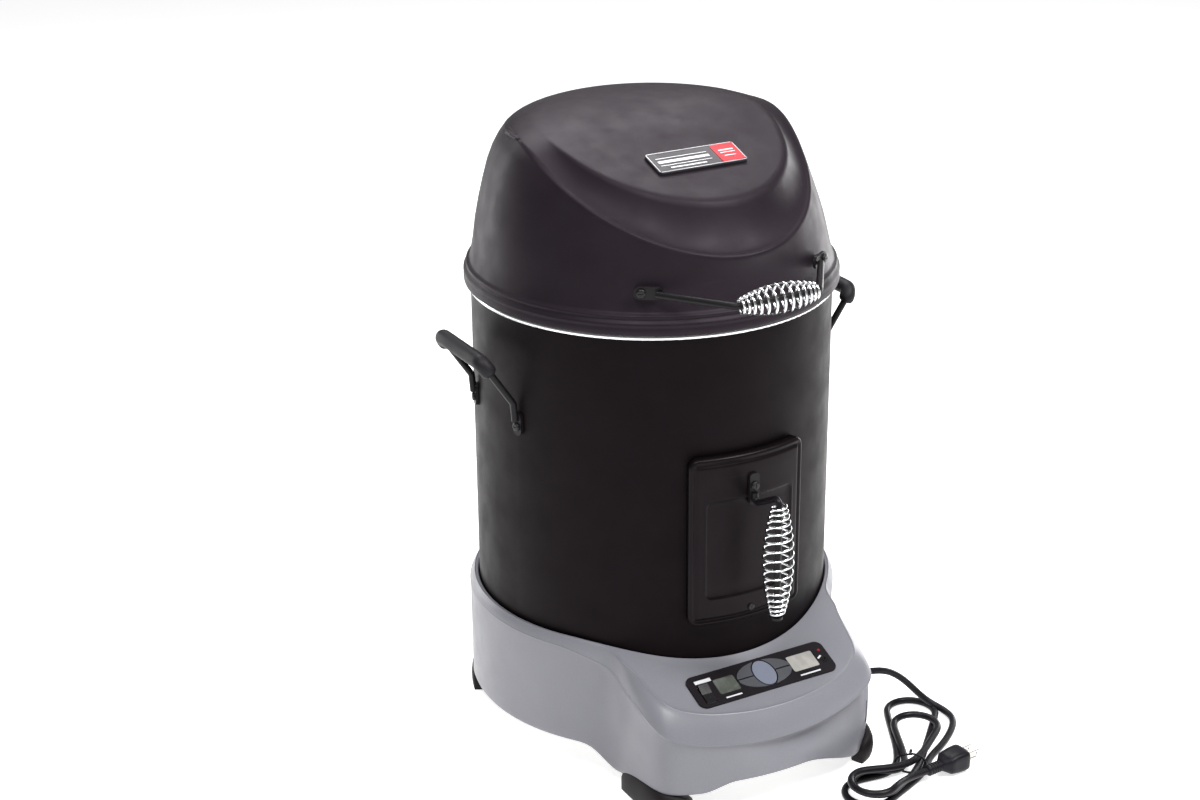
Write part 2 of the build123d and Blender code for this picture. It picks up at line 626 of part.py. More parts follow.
PAD = (3.0, 0.0)                       # centre of the button pad on the panel
PAD_OUTER, PAD_INNER = (34.0, 18.0), (12.5, 17.0)
SPLIT = 1.6                            # gap between neighbouring buttons
ARC_START = 6.0                        # the outer buttons stop this far from the pad's middle line
LEFT_DISPLAY = ((-45.0, 0.0), (26.0, 21.0))
RIGHT_DISPLAY = ((54.0, 1.0), (33.0, 22.0))
ROCKER = ((-73.0, -5.0), (13.0, 24.0))
PROBE_JACK = (80.0, -4.5)
STATUS_LED = (80.0, 9.0)


def pad_ellipse(size, grow=0.0):
    return Pos(*PAD) * Ellipse(size[0] + grow, size[1] + grow)


def arc_button_face(side_u, side_v, grow=0.0):
    """One of the four outer buttons: a quarter of the pad, without the centre button."""
    half = 30.0
    quarter = Pos(PAD[0] + side_u * (half + ARC_START - grow), PAD[1] + side_v * (half + SPLIT / 2 - grow))
    ring_face = pad_ellipse(PAD_OUTER, grow) - pad_ellipse(PAD_INNER, SPLIT - grow)
    return ring_face & (quarter * Rectangle(2 * half, 2 * half))


def window(spec, grow=0.0, corner=2.0):
    (u, v), (width, height) = spec
    return Pos(u, v) * RectangleRounded(width + 2 * grow, height + 2 * grow, corner)


def panel_bezel():
    bezel = panel_plane() * rise(RectangleRounded(*PANEL_SIZE, 9), BEZEL_TOP)
    cuts = [window(LEFT_DISPLAY), window(RIGHT_DISPLAY), window(ROCKER, RUN_GAP),
            pad_ellipse(PAD_INNER, RUN_GAP), Pos(*PROBE_JACK) * Circle(3.6),
            Pos(*STATUS_LED) * Circle(1.6)]
    cuts += [arc_button_face(u, v, RUN_GAP) for u in (-1, 1) for v in (-1, 1)]
    for face in cuts:
        bezel -= panel_plane(-10) * rise(face, 15)
    return bezel


def display(spec):
    return panel_plane(0.4) * rise(window(spec), 1.3)


def button(face):
    return panel_plane(-4) * rise(face, 4 + BUTTON_TOP)


def rocker_cap():
    """Rocker switch resting with its lower end pressed; it turns about its middle."""
    (u, v), (width, height) = ROCKER
    side = Polyline((-height / 2 + 1, 0.5), (-height / 2 + 0.5, 3.6), (0, 2.9), (height / 2 - 0.5, 5.6),
                    (height / 2 - 1, 0.5), (2, -3.5), (-2, -3.5), close=True)
    plane = panel_plane()
    profile = Plane(origin=plane.from_local_coords((u - width / 2 + 0.4, v, 0)),
                    x_dir=plane.y_dir, z_dir=plane.x_dir)
    return extrude(profile * make_face(side), width - 0.8)


def probe_jack():
    u, v = PROBE_JACK
    body = panel_plane(-6) * rise(Pos(u, v) * Circle(3.5), 9)
    return body - panel_plane(-4) * rise(Pos(u, v) * Circle(1.5), 12)


def status_led():
    return panel_plane(-3) * rise(Pos(*STATUS_LED) * Circle(1.5), 5.6)


def control_board():
    board = panel_plane(-10.8) * rise(RectangleRounded(164, 34, 2), 1.6)
    parts = [board]
    for u in (-60, -25, 25, 60):
        parts.append(panel_plane(-16.8) * rise(Pos(u, 4) * Rectangle(16, 10), 5.9))
    return parts


def power_relay():
    return box((58, 92), (-248, -222), (SKIRT_Z + 2, SKIRT_Z + 26))


# ---- power cord ---------------------------------------------------------------------------------
def turn_angle(before, here, after):
    return (Vector(*here) - Vector(*before)).get_angle(Vector(*after) - Vector(*here))


def corner_radii(points):
    radii = []
    for before, here, after in zip(points, points[1:], points[2:]):
        shorter = min((Vector(*here) - Vector(*before)).length, (Vector(*after) - Vector(*here)).length)
        radii.append(0.45 * shorter / tan(radians(turn_angle(before, here, after)) / 2))
    return radii


def cord_tube(points):
    path = FilletPolyline(*points, radius=corner_radii(points))
    tube = sweep(Plane(origin=path @ 0, z_dir=path % 0) * Circle(CORD_D / 2), path=path)
    expected = pi * (CORD_D / 2) ** 2 * path.length
    print("cord radii", [round(r) for r in corner_radii(points)], "length", round(path.length),
          "volume ratio", round(tube.volume / expected, 4))
    return tube


def strain_relief():
    """Tapered sleeve out of the base's side wall, with a flange inside it."""
    x, y, z = CORD_EXIT
    length = x - LOBE_HALF_W
    outline = [(0, -8), (9.5, -8), (9.5, -3.4), (6.8, -3.4), (6.8, 1), (8.5, 1), (8.5, 4), (6.9, 6),
               (5.2, length), (0, length)]
    sleeve = spun(outline)
    return Pos(LOBE_HALF_W, y, z) * Rot(0, 90, 0) * sleeve


def hank_plan():
    """Plan of the tied hank: a long leaf to the back right and a shorter one to the left."""
    tie_x, tie_y = TIE_AT
    long_leaf = make_face(Spline((tie_x, tie_y + 12), (180, -244), (218, -194), (250, -200), (254, -250),
                                 (206, -294), (tie_x + 12, tie_y - 8), tangents=((0, 1), (-1, 0)))
                          + Line((tie_x + 12, tie_y - 8), (tie_x, tie_y + 12)))
    short_leaf = make_face(Spline((tie_x, tie_y - 14), (110, -350), (64, -352), (46, -330), (66, -304),
                                  (112, -302), (tie_x, tie_y + 12))
                           + Line((tie_x, tie_y + 12), (tie_x, tie_y - 14)))
    return long_leaf + short_leaf + Pos(tie_x, tie_y) * Circle(14)


def cord_hank():
    return rise(hank_plan(), HANK_H)


def cord_tie():
    band = Box(36, 9, HANK_H + 2.4, align=(Align.CENTER, Align.CENTER, Align.MIN))
    return Pos(TIE_AT[0], TIE_AT[1], 0) * Rot(0, 0, -35) * band


def plug_location():
    return Location(PLUG_START) * Rot(0, 0, PLUG_ANGLE)


def plug_body():
    """Moulded three-pin plug along +X: ribbed sleeve, shoulder, block."""
    body = Rot(0, 90, 0) * disc(6.2, 0, 24)
    block = Pos(43, 0, 0) * Box(38, 27, 25)
    block = fillet(block.edges().filter_by(Axis.X), 6)
    shoulder = loft([Pos(22, 0, 0) * Rot(0, 90, 0) * Circle(6.2),
                     Pos(30, 0, 0) * Rot(0, 90, 0) * Circle(11.5)])
    plug = plug_location() * (body + shoulder + block)
    return plug - plug_blades()


def plug_blades():
    blades = []
    for y in (-6.35, 6.35):
        blade = Pos(62, y, 3) * Box(18, 1.6, 6.4) - Pos(66, y, 3) * Rot(90, 0, 0) * Cylinder(1.6, 4)
        blades.append(plug_location() * blade)
    ground = Pos(62, 0, -6.5) * Rot(0, 90, 0) * Cylinder(2.4, 20)
    ground = Pos(71, 0, -6.5) * Rot(0, 90, 0) * Cylinder(2.4, 4) + ground
    blades.append(plug_location() * ground)
    return blades


# ---- every sub-part -----------------------------------------------------------------------------
def main():
    os.makedirs("parts", exist_ok=True)
    save("base_shell", base_shell())
    save("base_bottom_plate", base_bottom_plate())
    save("bottom_plate_screws", *bottom_plate_screws())
    for side, name in ((-1, "left"), (1, "right")):
        save(f"foot_front_{name}", front_foot(side))
        save(f"foot_rear_{name}", rear_foot(side))
        save(f"side_handle_rod_{name}", side_handle_rod(side))
        save(f"side_handle_grip_{name}", side_handle_grip(side))
    save("side_handle_bolts", *side_handle_bolts())
    save("barrel_shell", barrel_shell())
    save("cooking_chamber", cooking_chamber())
    save("rim_ring", rim_ring())
    save("chamber_spacers", *chamber_spacers())
    save("heating_element", heating_element())
    save("element_clips", *element_clips())
    save("terminal_block", terminal_block())
    save("drip_tray", drip_tray())
    save("food_basket", food_basket())
    save("chamber_sensor", chamber_sensor())
    save("lid_shell", lid_shell())
    save("lid_gasket", lid_gasket())
    save("badge_plate", badge_plate())
    save("badge_accent", badge_accent())
    save("hinge_bracket", hinge_bracket())
    save("hinge_screws", *hinge_screws())
    save("hinge_lid_leaf", hinge_lid_leaf())
    save("hinge_pin", hinge_pin())
    save("lid_handle_rod", lid_handle_rod())
    save("lid_handle_grip", lid_handle_grip())
    save("lid_handle_bolts", *lid_handle_bolts())
    save("door_panel", door_panel())
    save("chip_box", chip_box())
    save("chip_box_bracket", chip_box_bracket())
    save("chip_box_lid", chip_box_lid())
    save("door_handle_rod", door_handle_rod())
    save("door_handle_grip", door_handle_grip())
    save("door_bolts", *door_bolts())
    save("panel_bezel", panel_bezel())
    save("display_left", display(LEFT_DISPLAY))
    save("display_right", display(RIGHT_DISPLAY))
    save("button_centre", button(pad_ellipse(PAD_INNER)))
    for side_u, name_u in ((-1, "left"), (1, "right")):
        for side_v, name_v in ((-1, "lower"), (1, "upper")):
            save(f"button_{name_v}_{name_u}", button(arc_button_face(side_u, side_v)))
    save("power_rocker", rocker_cap())
    save("probe_jack", probe_jack())
    save("status_led", status_led())
    save("control_board", *control_board())
    save("power_relay", power_relay())
    save("strain_relief", strain_relief())
    save("cord_lead", cord_tube(CORD_LEAD))
    save("cord_tail", cord_tube(CORD_TAIL))
    save("cord_hank", cord_hank())
    save("cord_tie", cord_tie())
    save("plug_body", plug_body())
    save("plug_blades", *plug_blades())


main()
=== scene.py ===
import json
from math import asin, atan, cos, exp, pi, radians, sin, sqrt

import bmesh
import bpy
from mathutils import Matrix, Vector


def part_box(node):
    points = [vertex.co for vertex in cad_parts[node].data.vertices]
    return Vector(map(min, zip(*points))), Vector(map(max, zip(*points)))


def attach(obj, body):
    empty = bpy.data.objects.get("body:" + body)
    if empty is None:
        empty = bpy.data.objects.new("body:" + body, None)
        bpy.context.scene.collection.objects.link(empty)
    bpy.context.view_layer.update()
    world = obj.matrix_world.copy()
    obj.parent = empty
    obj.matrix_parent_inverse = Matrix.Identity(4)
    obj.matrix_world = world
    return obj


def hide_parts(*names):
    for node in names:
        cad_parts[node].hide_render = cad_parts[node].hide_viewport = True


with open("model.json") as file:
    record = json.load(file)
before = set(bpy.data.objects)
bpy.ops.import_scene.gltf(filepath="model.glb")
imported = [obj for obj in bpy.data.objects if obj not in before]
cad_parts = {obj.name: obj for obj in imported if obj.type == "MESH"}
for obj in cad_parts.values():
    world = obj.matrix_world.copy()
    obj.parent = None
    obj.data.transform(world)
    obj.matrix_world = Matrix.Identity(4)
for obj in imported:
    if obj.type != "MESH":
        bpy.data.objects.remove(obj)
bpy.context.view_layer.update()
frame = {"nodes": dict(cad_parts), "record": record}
NODES = frame["nodes"]

# ---- places taken from the frame (metres) ---------------------------------------------------------
barrel_low, barrel_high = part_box("barrel_shell")
AXIS_Y = (barrel_low.y + barrel_high.y) / 2      # everything round is drawn about this axis
BARREL_R = (barrel_high.x - barrel_low.x) / 2
RIM_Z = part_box("rim_ring")[0].z                  # lid heights are above this level


def polar(radius, angle, z=0.0):
    """A point about the barrel's axis; the angle in degrees is 0 at the front, positive towards +X."""
    return Vector((radius * sin(radians(angle)), AXIS_Y - radius * cos(radians(angle)), z))


def smooth_step(low, high, x):
    """0 below low, 1 above high, with a soft S between them."""
    t = min(1.0, max(0.0, (x - low) / (high - low)))
    return t * t * (3 - 2 * t)


def soft_min(a, b, width):
    """The smaller of two numbers, rounded over where they are within a width of each other."""
    gap = max(width - abs(a - b), 0.0) / width
    return min(a, b) - gap * gap * width / 4


def soft_max(a, b, width):
    return -soft_min(-a, -b, width)


def plateau(low, rise, fall, high, x):
    """0 outside low and high, 1 between rise and fall, with soft flanks."""
    return smooth_step(low, rise, x) * (1 - smooth_step(fall, high, x))


def lerp(a, b, t):
    return a + (b - a) * t


def catmull(points, steps=24):
    """A smooth line of (a, b) pairs through the given ones."""
    ends = [points[0]] + list(points) + [points[-1]]
    line = []
    for p0, p1, p2, p3 in zip(ends, ends[1:], ends[2:], ends[3:]):
        for i in range(steps):
            t = i / steps
            line.append(tuple(0.5 * (2 * b + (c - a) * t + (2 * a - 5 * b + 4 * c - d) * t * t
                                     + (3 * b - a - 3 * c + d) * t ** 3)
                              for a, b, c, d in zip(p0, p1, p2, p3)))
    return line + [tuple(points[-1])]


def read_line(line, x, key=0):
    """Linear reading of the other coordinate where this one passes x."""
    other = 1 - key
    for p, q in zip(line, line[1:]):
        low, high = sorted((p[key], q[key]))
        if low <= x <= high and high > low:
            return lerp(p[other], q[other], (x - p[key]) / (q[key] - p[key]))
    nearest = min(line, key=lambda p: abs(p[key] - x))
    return nearest[other]


# ---- materials -------------------------------------------------------------------------------------
class Nodes:
    """A material's node tree with short helpers."""

    def __init__(self, name):
        self.material = bpy.data.materials.new(name)
        self.material.use_nodes = True
        self.tree = self.material.node_tree
        self.shader = self.tree.nodes["Principled BSDF"]
        self.place = self.add("ShaderNodeTexCoord").outputs["Object"]

    def add(self, kind, **settings):
        node = self.tree.nodes.new(kind)
        for key, value in settings.items():
            setattr(node, key, value)
        return node

    def link(self, source, target):
        self.tree.links.new(source, target)

    def scaled(self, scale):
        """Object coordinates stretched by three factors, for grain that runs one way."""
        mapping = self.add("ShaderNodeMapping")
        mapping.inputs["Scale"].default_value = scale
        self.link(self.place, mapping.inputs["Vector"])
        return mapping.outputs["Vector"]

    def noise(self, scale, detail=3.0, stretch=None, rough=0.55):
        node = self.add("ShaderNodeTexNoise")
        node.inputs["Scale"].default_value = scale
        node.inputs["Detail"].default_value = detail
        node.inputs["Roughness"].default_value = rough
        self.link(self.scaled(stretch) if stretch else self.place, node.inputs["Vector"])
        return node.outputs["Fac"]

    def ramp(self, fac, *stops):
        """Colour ramp from (position, colour or grey) pairs."""
        node = self.add("ShaderNodeValToRGB")
        elements = node.color_ramp.elements
        while len(elements) < len(stops):
            elements.new(0.5)
        for element, (position, colour) in zip(elements, stops):
            element.position = position
            rgb = (colour,) * 3 if isinstance(colour, (int, float)) else colour
            element.color = (*rgb, 1.0)
        self.link(fac, node.inputs["Fac"])
        return node.outputs["Color"]

    def mix(self, fac, first, second, blend="MIX"):
        node = self.add("ShaderNodeMix", data_type="RGBA", blend_type=blend)
        if isinstance(fac, (int, float)):
            node.inputs["Factor"].default_value = fac
        else:
            self.link(fac, node.inputs["Factor"])
        for value, name in ((first, "A"), (second, "B")):
            socket = [s for s in node.inputs if s.name == name and s.type == "RGBA"][0]
            if isinstance(value, tuple):
                socket.default_value = (*value, 1.0)
            else:
                self.link(value, socket)
        return [s for s in node.outputs if s.type == "RGBA"][0]

    def bump(self, height, distance, strength=1.0, after=None):
        node = self.add("ShaderNodeBump")
        node.inputs["Distance"].default_value = distance
        node.inputs["Strength"].default_value = strength
        self.link(height, node.inputs["Height"])
        if after:
            self.link(after, node.inputs["Normal"])
        return node.outputs["Normal"]

    def set(self, **values):
        for name, value in values.items():
            socket = self.shader.inputs[name.replace("_", " ")]
            if hasattr(value, "is_linked"):
                self.link(value, socket)
            else:
                socket.default_value = value


def shade(colour, factor):
    return tuple(min(1.0, c * factor) for c in colour)


def paint(name, colour, rough, grain=900.0, depth=0.0001, mottled=0.16, spread=0.08, coat=0.0, gloss=0.5,
          scuffs=0.25, tint=(1.0, 1.0, 1.0)):
    """Sprayed or powder-coated metal, or moulded plastic: fine grain, faint mottling, light scuffs."""
    nodes = Nodes(name)
    cloud = nodes.noise(9.0, 4.0)
    fine = nodes.noise(grain, 2.0)
    base = nodes.ramp(cloud, (0.3, shade(colour, 1 - mottled)), (0.72, shade(colour, 1 + mottled)))
    base = nodes.mix(0.5, base, nodes.ramp(fine, (0.35, 0.82), (0.7, 1.15)), "MULTIPLY")
    streaks = nodes.noise(14.0, 6.0, stretch=(1.0, 1.0, 9.0), rough=0.7)
    scratch = nodes.ramp(streaks, (0.63, 0.0), (0.75, scuffs))
    base = nodes.mix(scratch, base, tuple(c * 1.25 + 0.012 for c in colour))
    roughness = nodes.ramp(nodes.noise(26.0, 4.0), (0.3, rough - spread), (0.72, rough + spread))
    broad = nodes.bump(nodes.noise(42.0, 2.0), depth * 1.4, 0.35)
    nodes.set(Base_Color=base, Roughness=roughness, Normal=nodes.bump(fine, depth, 0.75, broad),
              Specular_IOR_Level=gloss, Specular_Tint=(*tint, 1.0))
    if coat:
        nodes.set(Coat_Weight=coat, Coat_Roughness=0.22)
    return nodes.material


def metal(name, colour, rough, grain=(1.0, 1.0, 60.0), depth=0.00002, stain=0.2):
    """Bare metal with fine drawn or rolled lines and faint staining."""
    nodes = Nodes(name)
    lines = nodes.noise(90.0, 3.0, stretch=grain)
    cloud = nodes.noise(14.0, 5.0)
    base = nodes.ramp(cloud, (0.3, shade(colour, 1 - stain)), (0.7, colour))
    base = nodes.mix(0.35, base, nodes.ramp(lines, (0.3, 0.75), (0.7, 1.1)), "MULTIPLY")
    roughness = nodes.ramp(nodes.noise(30.0, 4.0), (0.3, max(rough - 0.06, 0.04)), (0.7, rough + 0.1))
    nodes.set(Base_Color=base, Metallic=1.0, Roughness=roughness, Normal=nodes.bump(lines, depth, 0.6))
    return nodes.material


def rubber(name, colour, rough, grain=700.0, depth=0.00006):
    """Dull moulded rubber or soft plastic with a fine grain and some dust."""
    nodes = Nodes(name)
    fine = nodes.noise(grain, 3.0)
    cloud = nodes.noise(22.0, 4.0)
    base = nodes.ramp(cloud, (0.3, shade(colour, 0.8)), (0.7, shade(colour, 1.35)))
    dust = nodes.ramp(nodes.noise(70.0, 6.0), (0.6, 0.0), (0.8, 0.2))
    base = nodes.mix(dust, base, (0.05, 0.048, 0.046))
    roughness = nodes.ramp(cloud, (0.3, rough - 0.08), (0.7, rough + 0.1))
    nodes.set(Base_Color=base, Roughness=roughness, Normal=nodes.bump(fine, depth, 0.6),
              Specular_IOR_Level=0.16)
    return nodes.material


def display_glass(name, colour, dark):
    """An unlit display: glass over a clouded and faintly streaked ground."""
    nodes = Nodes(name)
    cloud = nodes.noise(60.0, 3.0)
    base = nodes.ramp(cloud, (0.3, dark), (0.7, colour))
    streak = nodes.ramp(nodes.noise(260.0, 2.0, stretch=(1.0, 0.15, 0.15)), (0.42, 0.85), (0.6, 1.05))
    nodes.set(Base_Color=nodes.mix(0.4, base, streak, "MULTIPLY"), Roughness=0.16,
              Normal=nodes.bump(cloud, 0.00002, 0.3), Coat_Weight=0.6)
    return nodes.material


def element_finish(name):
    """Oxidised heating sheath: dark brown-grey with straw and blue heat tints."""
    nodes = Nodes(name)
    tint = nodes.ramp(nodes.noise(18.0, 5.0), (0.3, (0.05, 0.045, 0.05)), (0.55, (0.16, 0.12, 0.08)),
                      (0.75, (0.09, 0.1, 0.14)))
    fine = nodes.noise(800.0, 2.0)
    nodes.set(Base_Color=tint, Metallic=0.6, Roughness=nodes.ramp(fine, (0.3, 0.4), (0.7, 0.6)),
              Normal=nodes.bump(fine, 0.00005, 0.6))
    return nodes.material


def rope_seal(name):
    """Braided fibre seal: small slanted strands."""
    nodes = Nodes(name)
    wave = nodes.add("ShaderNodeTexWave", bands_direction="DIAGONAL")
    wave.inputs["Scale"].default_value = 180.0
    nodes.link(nodes.place, wave.inputs["Vector"])
    fine = nodes.noise(500.0, 3.0)
    base = nodes.ramp(wave.outputs["Fac"], (0.2, (0.05, 0.05, 0.05)), (0.8, (0.16, 0.155, 0.15)))
    nodes.set(Base_Color=base, Roughness=nodes.ramp(fine, (0.3, 0.8), (0.7, 0.95)),
              Normal=nodes.bump(wave.outputs["Fac"], 0.0005, 0.7))
    return nodes.material


PLUM = (1.0, 0.84, 0.98)                         # the black enamel shines slightly purple
MATERIALS = {
    "black_enamel": paint("black_enamel", (0.0035, 0.0024, 0.0026), 0.46, grain=1500.0, depth=0.00012,
                          mottled=0.2, gloss=0.07, tint=PLUM),
    "lid_enamel": paint("lid_enamel", (0.010, 0.0072, 0.010), 0.5, grain=1400.0, depth=0.00014,
                        mottled=0.1, gloss=0.17, tint=PLUM),
    "door_enamel": paint("door_enamel", (0.004, 0.003, 0.003), 0.36, grain=1300.0, depth=0.0001,
                         mottled=0.15, gloss=0.1, tint=PLUM),
    "base_silver": paint("base_silver", (0.174, 0.174, 0.197), 0.38, grain=1800.0, depth=0.00004,
                         mottled=0.05, coat=0.08, gloss=0.4),
    "bright_steel": metal("bright_steel", (0.9, 0.9, 0.91), 0.2, stain=0.06),
    "steel_sheet": metal("steel_sheet", (0.62, 0.61, 0.6), 0.34, grain=(40.0, 1.0, 1.0), stain=0.35),
    "wire_steel": metal("wire_steel", (0.68, 0.68, 0.68), 0.26),
    "element_steel": element_finish("element_steel"),
    "chrome": metal("chrome", (0.93, 0.94, 0.95), 0.12, grain=(1.0, 1.0, 12.0), depth=0.000008,
                    stain=0.08),
    "black_rod": paint("black_rod", (0.008, 0.007, 0.008), 0.36, grain=1200.0, depth=0.00006, mottled=0.2,
                       gloss=0.15),
    "grip_black": rubber("grip_black", (0.011, 0.010, 0.012), 0.5),
    "rubber_foot": rubber("rubber_foot", (0.008, 0.006, 0.007), 0.55),
    "bolt_black": paint("bolt_black", (0.009, 0.008, 0.009), 0.33, grain=1500.0, depth=0.00004,
                        mottled=0.2, gloss=0.25),
    "bolt_zinc": metal("bolt_zinc", (0.72, 0.7, 0.64), 0.28, stain=0.2),
    "gasket": rope_seal("gasket"),
    "badge_grey": paint("badge_grey", (0.045, 0.041, 0.046), 0.4, grain=2000.0, depth=0.00002,
                        mottled=0.1, gloss=0.2),
    "badge_red": paint("badge_red", (0.56, 0.025, 0.035), 0.4, grain=2000.0, depth=0.00002, mottled=0.08,
                       gloss=0.15),
    "badge_edge": metal("badge_edge", (0.5, 0.5, 0.52), 0.4, stain=0.1),
    "panel_black": paint("panel_black", (0.009, 0.007, 0.009), 0.42, grain=2600.0, depth=0.00005,
                         mottled=0.12, gloss=0.12),
    "print_white": paint("print_white", (0.6, 0.6, 0.62), 0.5, grain=2600.0, depth=0.00002, mottled=0.1),
    # near-black paint used as painted shade: it stands in for the shadow inside a slot
    "slot_dark": paint("slot_dark", (0.02, 0.02, 0.024), 0.6, grain=1200.0, depth=0.00005, mottled=0.2),
    "display_olive": display_glass("display_olive", (0.075, 0.085, 0.07), (0.05, 0.056, 0.046)),
    "display_beige": display_glass("display_beige", (0.4, 0.385, 0.36), (0.3, 0.29, 0.27)),
    "button_blue": paint("button_blue", (0.14, 0.155, 0.2), 0.4, grain=2200.0, depth=0.00003,
                         mottled=0.06),
    "button_grey": paint("button_grey", (0.05, 0.052, 0.06), 0.42, grain=2200.0, depth=0.00003,
                         mottled=0.08),
    "switch_black": paint("switch_black", (0.009, 0.008, 0.009), 0.25, grain=2600.0, depth=0.00002,
                          mottled=0.1, gloss=0.22),
    "led_red": paint("led_red", (0.3, 0.015, 0.015), 0.18, grain=2500.0, depth=0.00001, mottled=0.05,
                     coat=0.8),
    "board_green": paint("board_green", (0.02, 0.11, 0.045), 0.4, grain=900.0, depth=0.00006,
                         mottled=0.2),
    "cord_black": rubber("cord_black", (0.007, 0.006, 0.008), 0.36, grain=500.0, depth=0.00005),
    "plug_black": rubber("plug_black", (0.008, 0.007, 0.010), 0.4, grain=600.0, depth=0.00005),
}
for part in frame["record"]["subparts"]:
    node = NODES[part["node"]]
    node.data.materials.clear()
    node.data.materials.append(MATERIALS[part["material_slot"]])


# ---- building helpers ------------------------------------------------------------------------------
WELD = 1e-6                                      # points closer than this are one


def piece(name, data, body, slot, replaces=(), look=None):
    """Put a mesh or curve in the scene on its body, with its material and the nodes it stands for."""
    obj = bpy.data.objects.new(name, data)
    bpy.context.scene.collection.objects.link(obj)
    data.materials.append(MATERIALS[look or slot])
    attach(obj, body)
    if replaces:
        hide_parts(*replaces)
    return obj


def grid_mesh(name, rows):
    """A smooth mesh through rows of points, each of which closes on itself."""
    width = len(rows[0])
    faces = []
    for j in range(len(rows) - 1):
        for i in range(width):
            a, b = j * width + i, j * width + (i + 1) % width
            faces.append((a, b, b + width, a + width))
    mesh = bpy.data.meshes.new(name)
    mesh.from_pydata([point for row in rows for point in row], [], faces)
    work = bmesh.new()
    work.from_mesh(mesh)
    bmesh.ops.remove_doubles(work, verts=work.verts, dist=WELD)
    bmesh.ops.recalc_face_normals(work, faces=work.faces)
    work.to_mesh(mesh)
    work.free()
    mesh.polygons.foreach_set("use_smooth", [True] * len(mesh.polygons))
    mesh.update()
    return mesh


def close_holes(mesh, wanted=None):
    """Fill the mesh's holes, or only those along the wanted edges, and make all faces look outwards."""
    work = bmesh.new()
    work.from_mesh(mesh)
    rim = [edge for edge in work.edges if edge.is_boundary and (wanted is None or wanted(edge))]
    bmesh.ops.holes_fill(work, edges=rim, sides=0)
    bmesh.ops.recalc_face_normals(work, faces=work.faces)
    work.to_mesh(mesh)
    work.free()
    return mesh


def modifier(obj, kind, **settings):
    made = obj.modifiers.new(kind.lower(), kind)
    for key, value in settings.items():
        setattr(made, key, value)
    return made


def wire(name, routes, radius, body, slot, replaces=(), closed=False, order=3, resolution=4, sides=4):
    """Round wire along one or more lists of points, as NURBS splines in one curve."""
    curve = bpy.data.curves.new(name, "CURVE")
    curve.dimensions = "3D"
    curve.bevel_depth = radius
    curve.bevel_resolution = sides
    curve.resolution_u = resolution
    curve.use_fill_caps = not closed
    for points in routes:
        spline = curve.splines.new("NURBS")
        spline.points.add(len(points) - 1)
        for target, point in zip(spline.points, points):
            target.co = (*point, 1.0)
        spline.order_u = order
        spline.use_endpoint_u = not closed
        spline.use_cyclic_u = closed
    return piece(name, curve, body, slot, replaces)


def tube(name, path, sections, body, slot, replaces=(), sides=28, look=None):
    """A skin along a path: each section is (half width, half height, squareness), 2 being round."""
    rows = []
    for i, (point, (wide, tall, power)) in enumerate(zip(path, sections)):
        ahead = (path[min(i + 1, len(path) - 1)] - path[max(i - 1, 0)]).normalized()
        across = ahead.cross(Vector((0, 0, 1)))
        across = (across if across.length > 0.2 else Vector((1, 0, 0))).normalized()
        up = across.cross(ahead)
        row = []
        for j in range(sides):
            c, s = cos(2 * pi * j / sides), sin(2 * pi * j / sides)
            out = (abs(c) ** power + abs(s) ** power) ** (-1 / power)
            row.append(point + across * (wide * out * c) + up * (tall * out * s))
        rows.append(row)
    return piece(name, close_holes(grid_mesh(name, rows)), body, slot, replaces, look)


# ---- camera, light, floor --------------------------------------------------------------------------
CAMERA_TURN = 30.5           # degrees to the object's left of its front
CAMERA_AWAY = 2.31           # from the barrel's axis, along the floor
CAMERA_HEIGHT = 1.305
CAMERA_PITCH = 22.0          # degrees down
LENS, SENSOR = 66.0, 36.0    # millimetres
FRAME_SHIFT = -0.043         # the object stands a little right of the frame's middle

FLOOR_HALF = 14.0
FLOOR_GLOW, WORLD_GLOW = 0.66, 0.22
LIGHTS = [                   # name, place (reach, turn, height), aim (ahead of the axis, height), size, watts
    ("key", (1.7, -42, 2.9), (0, 0.15), (1.2, 1.0), 58),
    ("front", (1.7, 32, 2.5), (0.1, 0.45), (1.0, 0.8), 74),
    ("rear_top", (1.4, 160, 2.6), (0, 0.6), (1.8, 1.4), 62),
    ("left_edge", (2.2, -152, 0.7), (0, 0.3), (0.8, 1.2), 18),
    ("right_edge", (2.2, 108, 0.3), (0, 0.25), (0.8, 1.1), 20),
]


def make_camera():
    """From the left of the object's front, looking down at it."""
    data = bpy.data.cameras.new("camera")
    data.lens = LENS
    data.sensor_width = SENSOR
    data.shift_x = FRAME_SHIFT
    camera = bpy.data.objects.new("camera", data)
    camera.location = polar(CAMERA_AWAY, -CAMERA_TURN, CAMERA_HEIGHT)
    camera.rotation_euler = (radians(90 - CAMERA_PITCH), 0, radians(-CAMERA_TURN))
    bpy.context.scene.collection.objects.link(camera)
    bpy.context.scene.camera = camera


def area_light(name, place, target, size, power):
    data = bpy.data.lights.new(name, "AREA")
    data.shape = "RECTANGLE"
    data.size, data.size_y = size
    data.energy = power
    light = bpy.data.objects.new(name, data)
    light.location = place
    light.rotation_euler = (Vector(target) - Vector(place)).to_track_quat("-Z", "Y").to_euler()
    bpy.context.scene.collection.objects.link(light)


